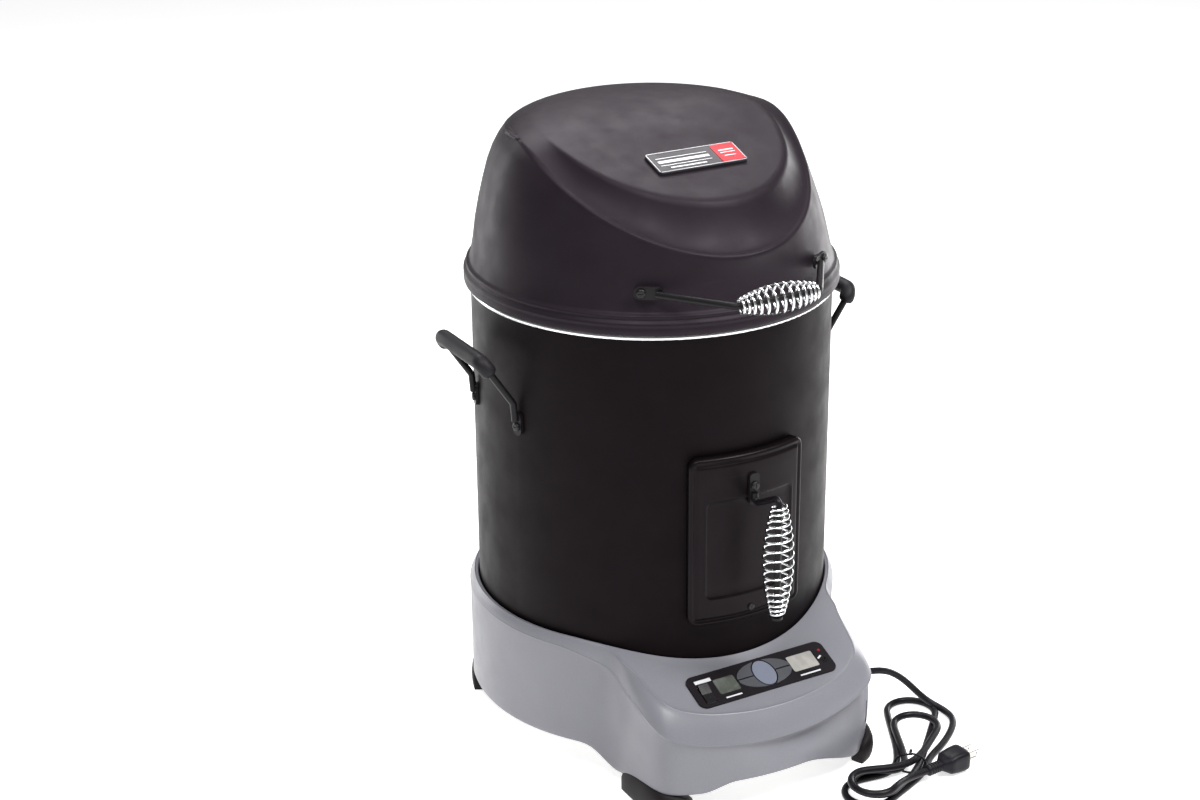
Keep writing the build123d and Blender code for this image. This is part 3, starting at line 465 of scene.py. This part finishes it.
def make_stage():
    """A pale matt floor that glows a little, an even white surround and the soft lights."""
    corners = [(x * FLOOR_HALF, y * FLOOR_HALF, 0) for x, y in ((-1, -1), (1, -1), (1, 1), (-1, 1))]
    mesh = bpy.data.meshes.new("floor")
    mesh.from_pydata(corners, [], [(0, 1, 2, 3)])
    floor = bpy.data.objects.new("floor", mesh)
    bpy.context.scene.collection.objects.link(floor)
    nodes = Nodes("floor_white")
    cloud = nodes.noise(1.5, 3.0)
    nodes.set(Base_Color=nodes.ramp(cloud, (0.3, 0.80), (0.7, 0.83)), Roughness=0.9, Specular_IOR_Level=0.1,
              Emission_Color=(1.0, 1.0, 1.0, 1.0), Emission_Strength=FLOOR_GLOW)
    mesh.materials.append(nodes.material)
    world = bpy.data.worlds.new("studio")
    world.use_nodes = True
    background = world.node_tree.nodes["Background"]
    background.inputs["Color"].default_value = (1.0, 1.0, 1.0, 1.0)
    background.inputs["Strength"].default_value = WORLD_GLOW
    bpy.context.scene.world = world
    for name, place, (ahead, height), size, power in LIGHTS:
        area_light(name, polar(*place), (0, AXIS_Y - ahead, height), size, power)


make_camera()
make_stage()
bpy.context.scene.view_settings.view_transform = "Standard"


# ---- power cord -------------------------------------------------------------------------------------
CORD_D = 0.008
CORD_LEAD = [(0.172, -0.190, 0.064), (0.198, -0.190, 0.062), (0.221, -0.192, 0.048), (0.238, -0.197, 0.029),
             (0.253, -0.205, 0.011), (0.264, -0.221, 0.005), (0.264, -0.240, 0.005), (0.255, -0.256, 0.006)]
CORD_ON_FLOOR = [(0.236, -0.272), (0.210, -0.289), (0.182, -0.302)]
CORD_TAIL = [(0.122, -0.3395, 0.0160), (0.140, -0.3345, 0.0135), (0.157, -0.334, 0.0135)]
TIE_AT = Vector((0.150, -0.312, 0.0))
LONG_END = Vector((0.242, -0.198, 0.0))
SHORT_END = Vector((0.058, -0.331, 0.0))
FLOOR_LEVEL = CORD_D / 2 + 0.0002        # of the centreline of a strand on the floor
STRAND_PITCH = CORD_D * 1.06
INWARD = 0.005                           # the curve cuts the corner at the tie by this much
LEAF_SHARE = 0.72                        # where the straight part of a loop has its point
LEAF_STEPS = 10                          # round a loop's far end


def leaf(start, far, radius, end, level, turn=1):
    """One loop of the hank: straight out from the tie, round a circle at the far end and straight back."""
    along = far - TIE_AT
    length = along.length
    along = along.normalized()
    across = Vector((-along.y, along.x, 0)) * turn
    centre = length - radius
    tangent = asin(radius / centre)
    sweep = pi + 2 * tangent
    lift = Vector((0, 0, level))
    bend = []
    for i in range(LEAF_STEPS + 1):
        angle = pi / 2 + tangent - sweep * i / LEAF_STEPS
        bend.append(TIE_AT + along * (centre + radius * cos(angle)) + across * (radius * sin(angle)) + lift)
    return [lerp(start, bend[0], LEAF_SHARE)] + bend + [lerp(end, bend[-1], LEAF_SHARE)]


def cord_route():
    """Lead, the turns of the hank through the tie, and the tail to the plug."""
    low = FLOOR_LEVEL
    high = low + STRAND_PITCH * 0.9
    top = high + STRAND_PITCH
    long_axis = (LONG_END - TIE_AT).normalized()
    side = Vector((-long_axis.y, long_axis.x, 0))          # from the lead's strands to the far strands

    def strand(place, level):
        """Where a strand passes the tie, counted in strand widths from the middle."""
        return TIE_AT + side * (place * STRAND_PITCH - INWARD) + Vector((0, 0, level))

    ties = [strand(-1.5, low), strand(1.5, low), strand(-0.5, low), strand(0.5, low), strand(0.0, high)]
    loops = [(SHORT_END, 0.0272, low),                     # far end, radius, level
             (LONG_END + Vector((0.004, 0.012, 0)), 0.0285, low),
             (SHORT_END + Vector((0.012, 0.004, 0)), 0.0256, high),
             (LONG_END - long_axis * 0.034 + side * -0.004, 0.0256, high)]
    points = [Vector(p) for p in CORD_LEAD]
    points += [Vector((x, y, low)) for x, y in CORD_ON_FLOOR] + [ties[0]]
    for start, end, (far, radius, level) in zip(ties, ties[1:], loops):
        points += leaf(start, far, radius, end, level) + [end]
    last = leaf(ties[-1], SHORT_END + Vector((0.004, -0.007, 0)), 0.0256, ties[-1], top, -1)
    return points + last[:-1] + [Vector(p) for p in CORD_TAIL]


def shifted(points):
    """The cord's points moved into the frame; they are written down from the barrel's axis."""
    return [Vector(p) + Vector((0, AXIS_Y, 0)) for p in points]


# ---- plug and tie -------------------------------------------------------------------------------------
PLUG_TURN = radians(5)                   # from the X axis
SLEEVE_RIBS, RIB_PITCH = 5, 0.0036
RIB = [(0, 0.0062, 2.2), (0.0018, 0.0062, 2.2), (0.0021, 0.0049, 2), (0.0033, 0.0049, 2)]
TWIST_WIDE, TWIST_TALL, TWIST_Z = 0.0172, 0.0122, 0.0136
TAIL_TURN_R = 0.0009


def make_plug():
    """Moulded plug: ribbed sleeve, waisted body, flat face."""
    start = Vector(CORD_TAIL[-1]) + Vector((0, AXIS_Y, 0))
    along = Vector((cos(PLUG_TURN), sin(PLUG_TURN), 0))
    stations = [(-0.001, 0.0040, 0.0040, 2), (0.0, 0.0052, 0.0052, 2)]      # along, half sizes, squareness
    for rib in range(SLEEVE_RIBS):
        at = 0.001 + rib * RIB_PITCH
        for step, r, power in RIB:
            stations.append((at + step, r, r, power))
    stations += [(0.0195, 0.0066, 0.0062, 2.2), (0.0225, 0.0090, 0.0076, 2.6), (0.0265, 0.0122, 0.0096, 3.4),
                 (0.0275, 0.0128, 0.0102, 4), (0.033, 0.0124, 0.0112, 5), (0.039, 0.0126, 0.0120, 5.5),
                 (0.046, 0.0132, 0.0122, 5.5), (0.0505, 0.0132, 0.0120, 5.5), (0.0528, 0.0126, 0.0114, 5),
                 (0.0538, 0.0116, 0.0104, 4.5), (0.054, 0.0098, 0.0086, 4)]
    path = [start + along * at for at, *_ in stations]
    sections = [row[1:] for row in stations]
    return tube("plug_skin", path, sections, "base", "plug_black", ("plug_body",), sides=36)


def make_twist():
    """A soft wire twist round the bundle, its two ends turned together on top."""
    out = (LONG_END - TIE_AT).normalized()
    side = Vector((-out.y, out.x, 0))
    middle = TIE_AT + Vector((0, AXIS_Y, TWIST_Z))
    loop = []
    for degrees in range(90, 451, 15):
        a = radians(degrees)
        loop.append(middle + side * (TWIST_WIDE * cos(a)) + Vector((0, 0, TWIST_TALL * sin(a)))
                    + out * (0.0012 * sin(a / 2)))
    tails = []
    for top, r in ((loop[0], TAIL_TURN_R), (loop[-1], -TAIL_TURN_R)):
        tails.append([top + side * (r * cos(i)) + out * (0.0018 * i + r * sin(i)) for i in range(6)])
    return wire("cord_twist", [loop] + tails, 0.0012, "base", "cord_black", ("cord_tie",), resolution=4)


make_plug()
make_twist()

cord = wire("power_cord", [shifted(cord_route())], CORD_D / 2, "base", "cord_black",
            ("cord_lead", "cord_tail", "cord_hank"), resolution=6, sides=6, order=4)


# ---- coiled-wire grips ------------------------------------------------------------------------------
COIL_END_R, COIL_WIRE_R = 0.0085, 0.00125
COIL_STEPS = 16                          # points in a turn


def coil_grip(name, node, along, turns, body):
    """A spindle-shaped spring of bright wire: tight collars at both ends, open turns between."""
    start, end, middle_r = grip_ends(node, along)
    axis = (end - start).normalized()
    first = axis.orthogonal().normalized()
    second = axis.cross(first)
    length = (end - start).length
    count = turns * COIL_STEPS
    points = []
    for i in range(count + 1):
        t = i / count
        spread = t - 0.055 * sin(2 * pi * t)               # turns bunch towards the ends
        radius = lerp(COIL_END_R, middle_r, sin(pi * min(max(spread, 0), 1)) ** 0.9) - COIL_WIRE_R
        angle = 2 * pi * i / COIL_STEPS
        points.append(start + axis * length * spread + (first * cos(angle) + second * sin(angle)) * radius)
    return wire(name, [points], COIL_WIRE_R, body, "chrome", (node,), resolution=3, sides=3)


def grip_ends(node, axis):
    """Both end points of a node that lies along one axis, and its radius."""
    low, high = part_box(node)
    middle = (low + high) / 2
    start, end = middle.copy(), middle.copy()
    start[axis], end[axis] = low[axis], high[axis]
    return start, end, (high - low)[(axis + 1) % 3] / 2


coil_grip("lid_grip_coil", "lid_handle_grip", 0, 13, "lid")
coil_grip("door_grip_coil", "door_handle_grip", 2, 16, "chip_drawer")


# ---- lid ---------------------------------------------------------------------------------------------
LID_SHEET = 0.0018
# the dome's outline behind the pressed faces: distance from the axis, height above the rim
DOME = catmull([(0.0, 0.1945), (0.05, 0.1945), (0.1, 0.1925), (0.125, 0.189), (0.147, 0.1815), (0.160, 0.172),
                (0.170, 0.157), (0.1775, 0.14), (0.1845, 0.114), (0.1925, 0.078), (0.1975, 0.042),
                (0.2, 0.03)])
FACET_Z, FACET_SLOPE = 0.186, 0.32               # plane of the sloping top face, its height at the axis
FACET_BLEND = 0.016
BRIM_Z, BRIM_SLOPE = 0.172, 0.455                # plane of the brim's edge
BRIM_ROLL = 0.0045                               # radius of that edge
FACET_OVAL = (0.133, 0.160, -0.006)              # half width, reach to the front, middle
BRIM_OVAL = (0.160, 0.200, 0.0)
FRONT_END, REAR_START = 62, 126                  # degrees over which the pressed faces fade
WALL_FOOT_Z = 0.03
LID_AROUND = 192                                 # outlines round the lid


def oval_radius(oval, angle):
    """Distance from the axis to an oval whose rear half is round, in the given direction."""
    half, reach, middle = oval
    s, c = sin(radians(angle)), cos(radians(angle))
    front = reach if c > 0 else half
    return 1 / sqrt((s / half) ** 2 + (c / front) ** 2) - middle * c


def facet_height(radius, angle):
    """The dome cut by the sloping top face."""
    y = -radius * cos(radians(angle))
    return soft_min(read_line(DOME, radius), FACET_Z + FACET_SLOPE * y, FACET_BLEND)


def lid_profile(angle):
    """Outline of the lid from the crown down to its lower edge, at one direction from the axis."""
    front = 1 - smooth_step(FRONT_END, REAR_START, abs(angle))
    r_in, r_out = oval_radius(FACET_OVAL, angle), oval_radius(BRIM_OVAL, angle)
    points = []
    for t in (0, 0.15, 0.3, 0.45, 0.6, 0.75, 0.88, 0.95, 0.985):                    # the sloping face
        points.append((r_in * t, facet_height(r_in * t, angle)))
    z_in = facet_height(r_in, angle)
    z_out = lerp(read_line(DOME, r_out), BRIM_Z - BRIM_SLOPE * r_out * cos(radians(angle)), front)
    for t in (0.03, 0.1, 0.2, 0.32, 0.46, 0.6, 0.74, 0.86, 0.94, 1.0):              # the hollow
        radius = lerp(r_in, r_out - BRIM_ROLL * front, t)
        carved = lerp(z_in, z_out + BRIM_ROLL * 0.8, t + 0.75 * t * (1 - t) * (1 - 0.2 * t))
        plain = read_line(DOME, radius) - (read_line(DOME, r_in) - z_in) * (1 - t) ** 2
        points.append((radius, lerp(plain, carved, front)))
    over = read_line(DOME, z_out, 1) - r_out
    for t in (0.25, 0.5, 0.75, 1.0):                                                # the brim's edge
        turn = t * pi / 2
        rolled = (r_out - BRIM_ROLL + BRIM_ROLL * sin(turn),
                  z_out - BRIM_ROLL * 0.2 + BRIM_ROLL * cos(turn))
        plain_z = lerp(z_out + BRIM_ROLL * 0.8, z_out - BRIM_ROLL * 0.2, t)
        plain = (read_line(DOME, plain_z, 1), plain_z)
        points.append(tuple(lerp(a, b, front) for a, b in zip(plain, rolled)))
    top = z_out - BRIM_ROLL * 0.2
    power = lerp(1.2, 3.5, smooth_step(0.0, 0.008, -over))
    for t in (0.06, 0.14, 0.25, 0.4, 0.55, 0.7, 0.85, 1.0):                         # the wall
        z = lerp(top, WALL_FOOT_Z, t)
        points.append((read_line(DOME, z, 1) - front * over * (1 - t) ** power, z))
    return points


# the beaded edge below the wall, in the dome's terms
SKIRT = [(0.2012, 0.0285), (0.2036, 0.0275), (0.2046, 0.0262), (0.2046, 0.0248), (0.2038, 0.0236),
         (0.2042, 0.0222), (0.2062, 0.0205), (0.2074, 0.0186), (0.2075, 0.0168), (0.2068, 0.0154),
         (0.2072, 0.0138), (0.2075, 0.0115), (0.2075, 0.0085), (0.2070, 0.0066), (0.2062, 0.0060)]


def around(profile, count):
    """Rings of points for a mesh about the axis; profile gives the (radius, height) pairs at an angle."""
    profiles = []
    for i in range(count):
        angle = 360 * i / count - 180
        profiles.append([polar(r, angle, z) for r, z in profile(angle)])
    return [list(row) for row in zip(*profiles)]


def make_lid():
    """The lid's pressed shell in thin sheet."""
    rows = around(lambda angle: [(r, RIM_Z + z) for r, z in lid_profile(angle) + SKIRT], LID_AROUND)
    lid = piece("lid_dome", grid_mesh("lid_dome", rows), "lid", "lid_enamel", ("lid_shell",))
    smooth = modifier(lid, "SMOOTH", factor=0.35, iterations=1)
    smooth.use_x = smooth.use_y = False
    modifier(lid, "SOLIDIFY", thickness=LID_SHEET, offset=-1.0)


make_lid()


# ---- base ---------------------------------------------------------------------------------------------
BASE_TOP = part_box("base_shell")[1].z
WELL_R = BARREL_R + 0.0012
LEDGE_R, LEDGE_Z = 0.170, 0.0575
RING_R = 0.211
LOBE_HALF, LOBE_REACH, LOBE_POWER = 0.142, 0.292, 22                               # power: square corners
DECK_AT, DECK_Z, DECK_SLOPE = 0.2, 0.145, 0.4      # the control deck's height at this reach, and its fall
# where the deck ends: degrees from the front, distance from the axis
DECK_EDGE = catmull([(0, 0.277), (12, 0.277), (20, 0.2765), (26.7, 0.2695), (32.7, 0.2424), (36.6, 0.228),
                     (41.5, 0.2175), (49, 0.2095), (60, 0.2067), (90, 0.2062), (180, 0.2062)])
BASE_AROUND = 360                                  # outlines round the base
BASE_SHEET = 0.0026
OUTLINE_BLEND, DECK_BLEND = 0.016, 0.014
EDGE_Z = 0.043                                     # the wall's lower edge between the feet
FOOT_HEIGHT, FOOT_STEPS = 0.034, 36
FRONT_FEET, FRONT_FOOT_HALF = {"left": -30.0, "right": 32.5}, 9.0                  # degrees
REAR_FOOT, REAR_FOOT_HALF = 134.0, 14.5


def base_outline(angle):
    """Reach of the base's wall: a ring about the barrel, with the rounded lobe in front of it."""
    if abs(angle) >= 90:
        return RING_R
    side = LOBE_HALF / max(abs(sin(radians(angle))), 1e-3)
    lobe = (LOBE_REACH ** -LOBE_POWER + side ** -LOBE_POWER) ** (-1 / LOBE_POWER)
    return soft_max(RING_R, lobe, OUTLINE_BLEND)


def deck_height(radius, angle):
    """The base's top face: level beside the barrel, falling to the front of the lobe."""
    plane = DECK_Z + DECK_SLOPE * (DECK_AT - radius * cos(radians(angle)))
    return soft_min(BASE_TOP, plane, DECK_BLEND)


def lower_edge(angle):
    """Height of the wall's lower edge: arched between the feet."""
    turn = abs(angle)
    rear = 0.026 * exp(-((turn - REAR_FOOT) / 15) ** 2)
    if angle < 0:
        leg = 0.022 * exp(-((turn - 42) / 5.5) ** 2)
        corner = 0.010 * plateau(12, 20, 36, 44, turn)
    else:                                              # the right front corner reaches lower
        leg = 0.0
        corner = 0.027 * plateau(4, 24, 30, 50, turn)
    return EDGE_Z - rear - leg - corner


def base_profile(angle):
    """The shell from the ledge under the barrel, up the well, over the deck and down the wall."""
    turn = abs(angle)
    lip = deck_height(WELL_R, angle)
    points = [(LEDGE_R, LEDGE_Z), (WELL_R - 0.003, LEDGE_Z), (WELL_R, LEDGE_Z + 0.003), (WELL_R, lip - 0.004),
              (WELL_R + 0.0002, lip - 0.0012), (WELL_R + 0.001, lip - 0.0002)]
    outline = base_outline(angle)
    edge = min(read_line(DECK_EDGE, turn), outline - 0.0048)
    start = WELL_R + 0.0014
    inner = edge - min(0.004, (edge - start) * 0.4)
    for t in (0.0, 0.15, 0.32, 0.5, 0.68, 0.84, 0.94, 1.0):
        radius = lerp(start, inner, t)
        points.append((radius, deck_height(radius, angle)))
    top = deck_height(edge, angle)
    for t, rise in ((0.45, 0.0003), (0.65, 0.0008), (0.85, 0.0008)):                # a narrow raised bead
        radius = lerp(inner, edge, t)
        points.append((radius, deck_height(radius, angle) + rise))
    points += [(edge, top + 0.0002), (edge + 0.001, top - 0.0013)]
    lobe = 1 - smooth_step(30, 62, turn)
    band = top - lerp(0.010, 0.0275, lobe)             # the band's lower edge
    for t in (0.12, 0.3, 0.5, 0.7, 0.88, 0.97):
        points.append((lerp(edge + 0.001, outline, t + 0.5 * t * (1 - t)), lerp(top - 0.0013, band, t)))
    points += [(outline + 0.0004, band), (outline - 0.0002, band - 0.0012)]
    sunk = 0.0078 * plateau(-15, 9, 17.5, 24, angle) + 0.0022 * lobe
    tuck = 0.0065 * plateau(19, 27, 36, 46, angle)     # over the right foot
    low = lower_edge(angle)
    for t, share in ((0.012, 0.9), (0.05, 1), (0.14, 1), (0.24, 0.86), (0.36, 0.6), (0.5, 0.34), (0.66, 0.16),
                     (0.82, 0.06), (0.94, 0.02), (0.985, 0.0)):
        points.append((outline - sunk * share - tuck * t * t, lerp(band - 0.0012, low, t)))
    return points + [(outline - tuck - 0.0006, low), (outline - tuck - 0.0022, low - 0.0002)]


def make_base():
    """The moulded shell under and in front of the barrel."""
    mesh = grid_mesh("base_skin", around(base_profile, BASE_AROUND))
    shell = piece("base_skin", mesh, "base", "base_silver", ("base_shell",))
    modifier(shell, "SOLIDIFY", thickness=BASE_SHEET, offset=-1.0)


def make_foot(name, middle, half, replaced):
    """A rounded rubber pad under the wall's edge, swelling outwards and fading at both ends."""
    rows = []
    for i in range(FOOT_STEPS + 1):
        s = i / FOOT_STEPS
        angle = middle + half * (2 * s - 1)
        swell = max(sin(pi * s), 0.0) ** 0.45
        reach = base_outline(angle)
        top = FOOT_HEIGHT * lerp(0.45, 1, swell)
        section = [(-0.020, top * 0.96), (-0.004, top), (0.0004, top * 0.99), (0.0035 * swell, top * 0.93),
                   (0.0068 * swell, top * 0.74), (0.008 * swell, top * 0.5), (0.0072 * swell, top * 0.24),
                   (0.0045 * swell, top * 0.06), (0.001, 0.0), (-0.006, 0.0), (-0.021, 0.0)]
        rows.append([polar(reach + offset * lerp(0.6, 1, swell), angle, z) for offset, z in section])
    mesh = close_holes(grid_mesh(name, rows))
    foot = piece(name, mesh, "base", "rubber_foot", (replaced,))
    modifier(foot, "BEVEL", width=0.001, segments=2, limit_method="ANGLE", angle_limit=radians(50))


# ---- side handle grips --------------------------------------------------------------------------------
GRIP_R, ROD_R = 0.0088, 0.0038
GRIP_END = 0.006                                   # length over which an end rounds off
# half of its line from the middle: outwards, along, up
GRIP_LINE = [(0.0, 0.0, 0.0), (0.0, 0.02, 0.0), (0.0, 0.037, 0.0), (-0.0006, 0.0455, -0.001),
             (-0.0042, 0.0503, -0.0066), (-0.0088, 0.0512, -0.0135)]


def make_grip(side, word):
    """A moulded sleeve over the rod's top, turning down into both bends, with rounded ends."""
    low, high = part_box(f"side_handle_grip_{word}")
    x, y, z = (low + high) / 2
    line = [(a, -b, c) for a, b, c in GRIP_LINE[:0:-1]] + GRIP_LINE
    curve = catmull(line, 7)
    path = [Vector((x + side * a, y + b, z + c)) for a, b, c in curve]
    reach = [0.0]
    for p, q in zip(path, path[1:]):
        reach.append(reach[-1] + (q - p).length)
    sections = []
    for d in reach:
        near = min(1.0, min(d, reach[-1] - d) / GRIP_END)
        r = lerp(ROD_R, GRIP_R, sqrt(max(0.0, 1 - (1 - near) ** 2)))
        sections.append((r, r, 2))
    return tube(f"side_grip_{word}", path, sections, "base", "grip_black", (f"side_handle_grip_{word}",))


# ---- chip door ----------------------------------------------------------------------------------------
DOOR_BASE_R, DOOR_R = 0.2013, 0.212
DOOR_SHEET = 0.0016
DOOR_FRAME = (0.0735, 0.098, 0.288, 0.011)         # half width along the arc, half height, middle, corner
DOOR_FIELD = (0.0555, 0.0585, 0.2795, 0.009)       # the sunk field, in the same terms
FRAME_WIDE, FRAME_CORNER = 0.0118, 0.006           # the rolled frame round the flat
FIELD_DROP = 0.0014
CORNER_STEPS, SIDE_STEPS = 12, 12


def door_loop(shape, inset, radius):
    """A rounded rectangle wrapped on a cylinder about the axis."""
    wide, tall, middle, corner = shape
    wide, tall, corner = wide - inset, tall - inset, max(corner - inset, 0.0015)
    points = []
    for cx, cy, first in ((1, 1, 0), (-1, 1, 90), (-1, -1, 180), (1, -1, 270)):
        for i in range(CORNER_STEPS + 1):
            turn = radians(first + 90 / CORNER_STEPS * i)
            points.append((cx * (wide - corner) + corner * cos(turn),
                           cy * (tall - corner) + corner * sin(turn)))
    full = []
    for i, (p, q) in enumerate(zip(points, points[1:] + points[:1])):
        full.append(p)
        if i % (CORNER_STEPS + 1) == CORNER_STEPS:          # extra points along the straight sides
            for t in range(1, SIDE_STEPS):
                full.append((lerp(p[0], q[0], t / SIDE_STEPS), lerp(p[1], q[1], t / SIDE_STEPS)))
    return [polar(radius, x / DOOR_R * 180 / pi, middle + y) for x, y in full]


def on_front(edge):
    """Whether a hole's edge lies on the door's front and not on its back."""
    return (edge.verts[0].co.xy - Vector((0, AXIS_Y))).length > DOOR_R - 0.003


def make_door():
    """The door's curved panel: a rolled frame round a flat with a sunk field."""
    frame_rows = ((0.0, DOOR_BASE_R), (0.0001, 0.2080), (0.0007, 0.2098), (0.002, 0.2110), (0.0038, 0.2114),
                  (0.0052, 0.2111), (0.0062, 0.2102), (0.0074, 0.2100), (0.0086, 0.2108), (0.0100, 0.2118),
                  (FRAME_WIDE, DOOR_R))
    rows = [door_loop(DOOR_FRAME, inset, radius) for inset, radius in frame_rows]
    inner = [value - FRAME_WIDE for value in DOOR_FRAME[:2]] + [DOOR_FRAME[2], FRAME_CORNER]
    for t in (0.3, 0.65, 0.9):
        rows.append(door_loop([lerp(a, b, t) for a, b in zip(inner, DOOR_FIELD)], 0, DOOR_R))
    field_rows = [(0.0, 0.0003), (0.001, 0.0001), (0.0022, -0.0009)]
    field_rows += [(inset, -FIELD_DROP) for inset in (0.0036, 0.012, 0.026, 0.042, 0.0535)]
    for inset, rise in field_rows:
        rows.append(door_loop(DOOR_FIELD, inset, DOOR_R + rise))
    mesh = close_holes(grid_mesh("door_skin", rows), on_front)
    door = piece("door_skin", mesh, "chip_drawer", "door_enamel", ("door_panel",))
    modifier(door, "SOLIDIFY", thickness=DOOR_SHEET, offset=-1.0)


# ---- marks on the badge and the panel ------------------------------------------------------------------
BADGE_TILT, PANEL_TILT = atan(0.33), atan(DECK_SLOPE)
PLATE_THICK, ACCENT_THICK, BEZEL_THICK = 0.0022, 0.0006, 0.0018
# bars are (across, up the slope, width, depth, turn): a border, and rows in place of the badge's print
BADGE_BARS = [(0.0, 0.0168, 0.104, 0.0009, 0), (0.0, -0.0168, 0.104, 0.0009, 0),
              (-0.0528, 0, 0.0009, 0.032, 0), (0.0528, 0, 0.0009, 0.032, 0),
              (-0.0155, 0.0065, 0.062, 0.0012, 0), (-0.0155, 0.0, 0.062, 0.0046, 0),
              (-0.0155, -0.0065, 0.062, 0.0012, 0), (-0.0155, -0.0115, 0.044, 0.0022, 0)]
ACCENT_BARS = [(0, 0.004, 0.018, 0.0024, 0), (0, -0.0005, 0.018, 0.0016, 0), (0, -0.0065, 0.014, 0.0016, 0)]


def bars_mesh(name, origin, tilt, bars, height):
    """Low bars on a plane through the origin that is tilted up towards the back."""
    work = bmesh.new()
    for u, v, wide, deep, turn in bars:
        made = bmesh.ops.create_cube(work, size=1.0)["verts"]
        for vert in made:
            a, b = vert.co.x * wide, vert.co.y * deep
            a, b = a * cos(turn) - b * sin(turn) + u, a * sin(turn) + b * cos(turn) + v
            c = (vert.co.z + 0.5) * height
            vert.co = origin + Vector((a, b * cos(tilt) - c * sin(tilt), b * sin(tilt) + c * cos(tilt)))
    mesh = bpy.data.meshes.new(name)
    work.to_mesh(mesh)
    work.free()
    return mesh


def add_bars(name, node, thick, tilt, bars, height, bevel, body, slot, look):
    """Bevelled bars on the top face of a tilted plate, found from the plate's box."""
    low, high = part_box(node)
    origin = (low + high) / 2 + Vector((0, -sin(tilt), cos(tilt))) * thick / 2
    marks = piece(name, bars_mesh(name, origin, tilt, bars, height), body, slot, look=look)
    modifier(marks, "BEVEL", width=bevel, segments=2)


def make_marks():
    """Plain bars where the badge and the panel are printed."""
    add_bars("badge_relief", "badge_plate", PLATE_THICK, BADGE_TILT, BADGE_BARS, 0.0005, 0.00018,
             "lid", "badge_grey", "badge_edge")
    add_bars("badge_red_relief", "badge_accent", ACCENT_THICK, BADGE_TILT, ACCENT_BARS, 0.0004, 0.00015,
             "lid", "badge_red", "badge_edge")
    left, right = ((low.x + high.x) / 2 for low, high in map(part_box, ("display_left", "display_right")))
    panel_bars = [(left, -0.0165, 0.020, 0.0018, 0), (right, -0.0165, 0.026, 0.0018, 0),
                  (left - 0.024, 0.0125, 0.020, 0.0045, 0), (right + 0.0215, 0.0, 0.006, 0.0020, 0.5)]
    add_bars("panel_marks", "panel_bezel", BEZEL_THICK, PANEL_TILT, panel_bars, 0.0004, 0.00012,
             "base", "panel_black", "print_white")


# ---- channels in the base's wall, and painted shade where its vent is ----------------------------------
CHANNELS = [(-34.0, 0.0605), (-28.2, 0.062), (-22.4, 0.061)]                       # angle, middle height
CHANNEL_HALF, CHANNEL_TALL, CHANNEL_REACH = 0.0026, 0.0155, 0.285
VENT_ANGLE = 25.6
VENT_HEIGHTS = (0.048, 0.0482, 0.050, 0.062, 0.074, 0.0758, 0.076)


def wall_point(angle, z, proud=0.0):
    """A point on the lobe's wall, below its band."""
    return polar(base_outline(angle) - 0.0031 + proud, angle, z)


def make_slots():
    """Three moulded channels at the left front corner, and at the right one a dark bar of painted shade where
    a vent slot is.
    """
    routes = []
    for angle, middle in CHANNELS:
        loop = []
        for i in range(24):
            turn = 2 * pi * i / 24
            end = CHANNEL_TALL if sin(turn) >= 0 else -CHANNEL_TALL
            u, v = CHANNEL_HALF * cos(turn), CHANNEL_HALF * sin(turn) + end
            loop.append(wall_point(angle + u / CHANNEL_REACH * 180 / pi, middle + v, 0.0009))
        routes.append(loop)
    wire("base_channels", routes, 0.0005, "base", "base_silver", closed=True)
    # the vent is a dark capsule on the wall, painted shade in place of the shadowed opening
    half = [(0.0003, 0.0002, 2), (0.0010, 0.0012, 2), (0.0014, 0.0014, 2)]
    sections = half + half[-1:] + half[::-1]
    path = [wall_point(VENT_ANGLE, z) for z in VENT_HEIGHTS]
    tube("vent_slot_painted_shade", path, sections, "base", "base_silver", look="slot_dark")


make_door()
make_marks()
make_slots()
make_base()
for side, word in ((-1, "left"), (1, "right")):
    make_grip(side, word)
for side, word in ((-1, "left"), (1, "right")):
    make_foot(f"front_pad_{word}", FRONT_FEET[word], FRONT_FOOT_HALF, f"foot_front_{word}")
    make_foot(f"rear_pad_{word}", side * REAR_FOOT, REAR_FOOT_HALF, f"foot_rear_{word}")
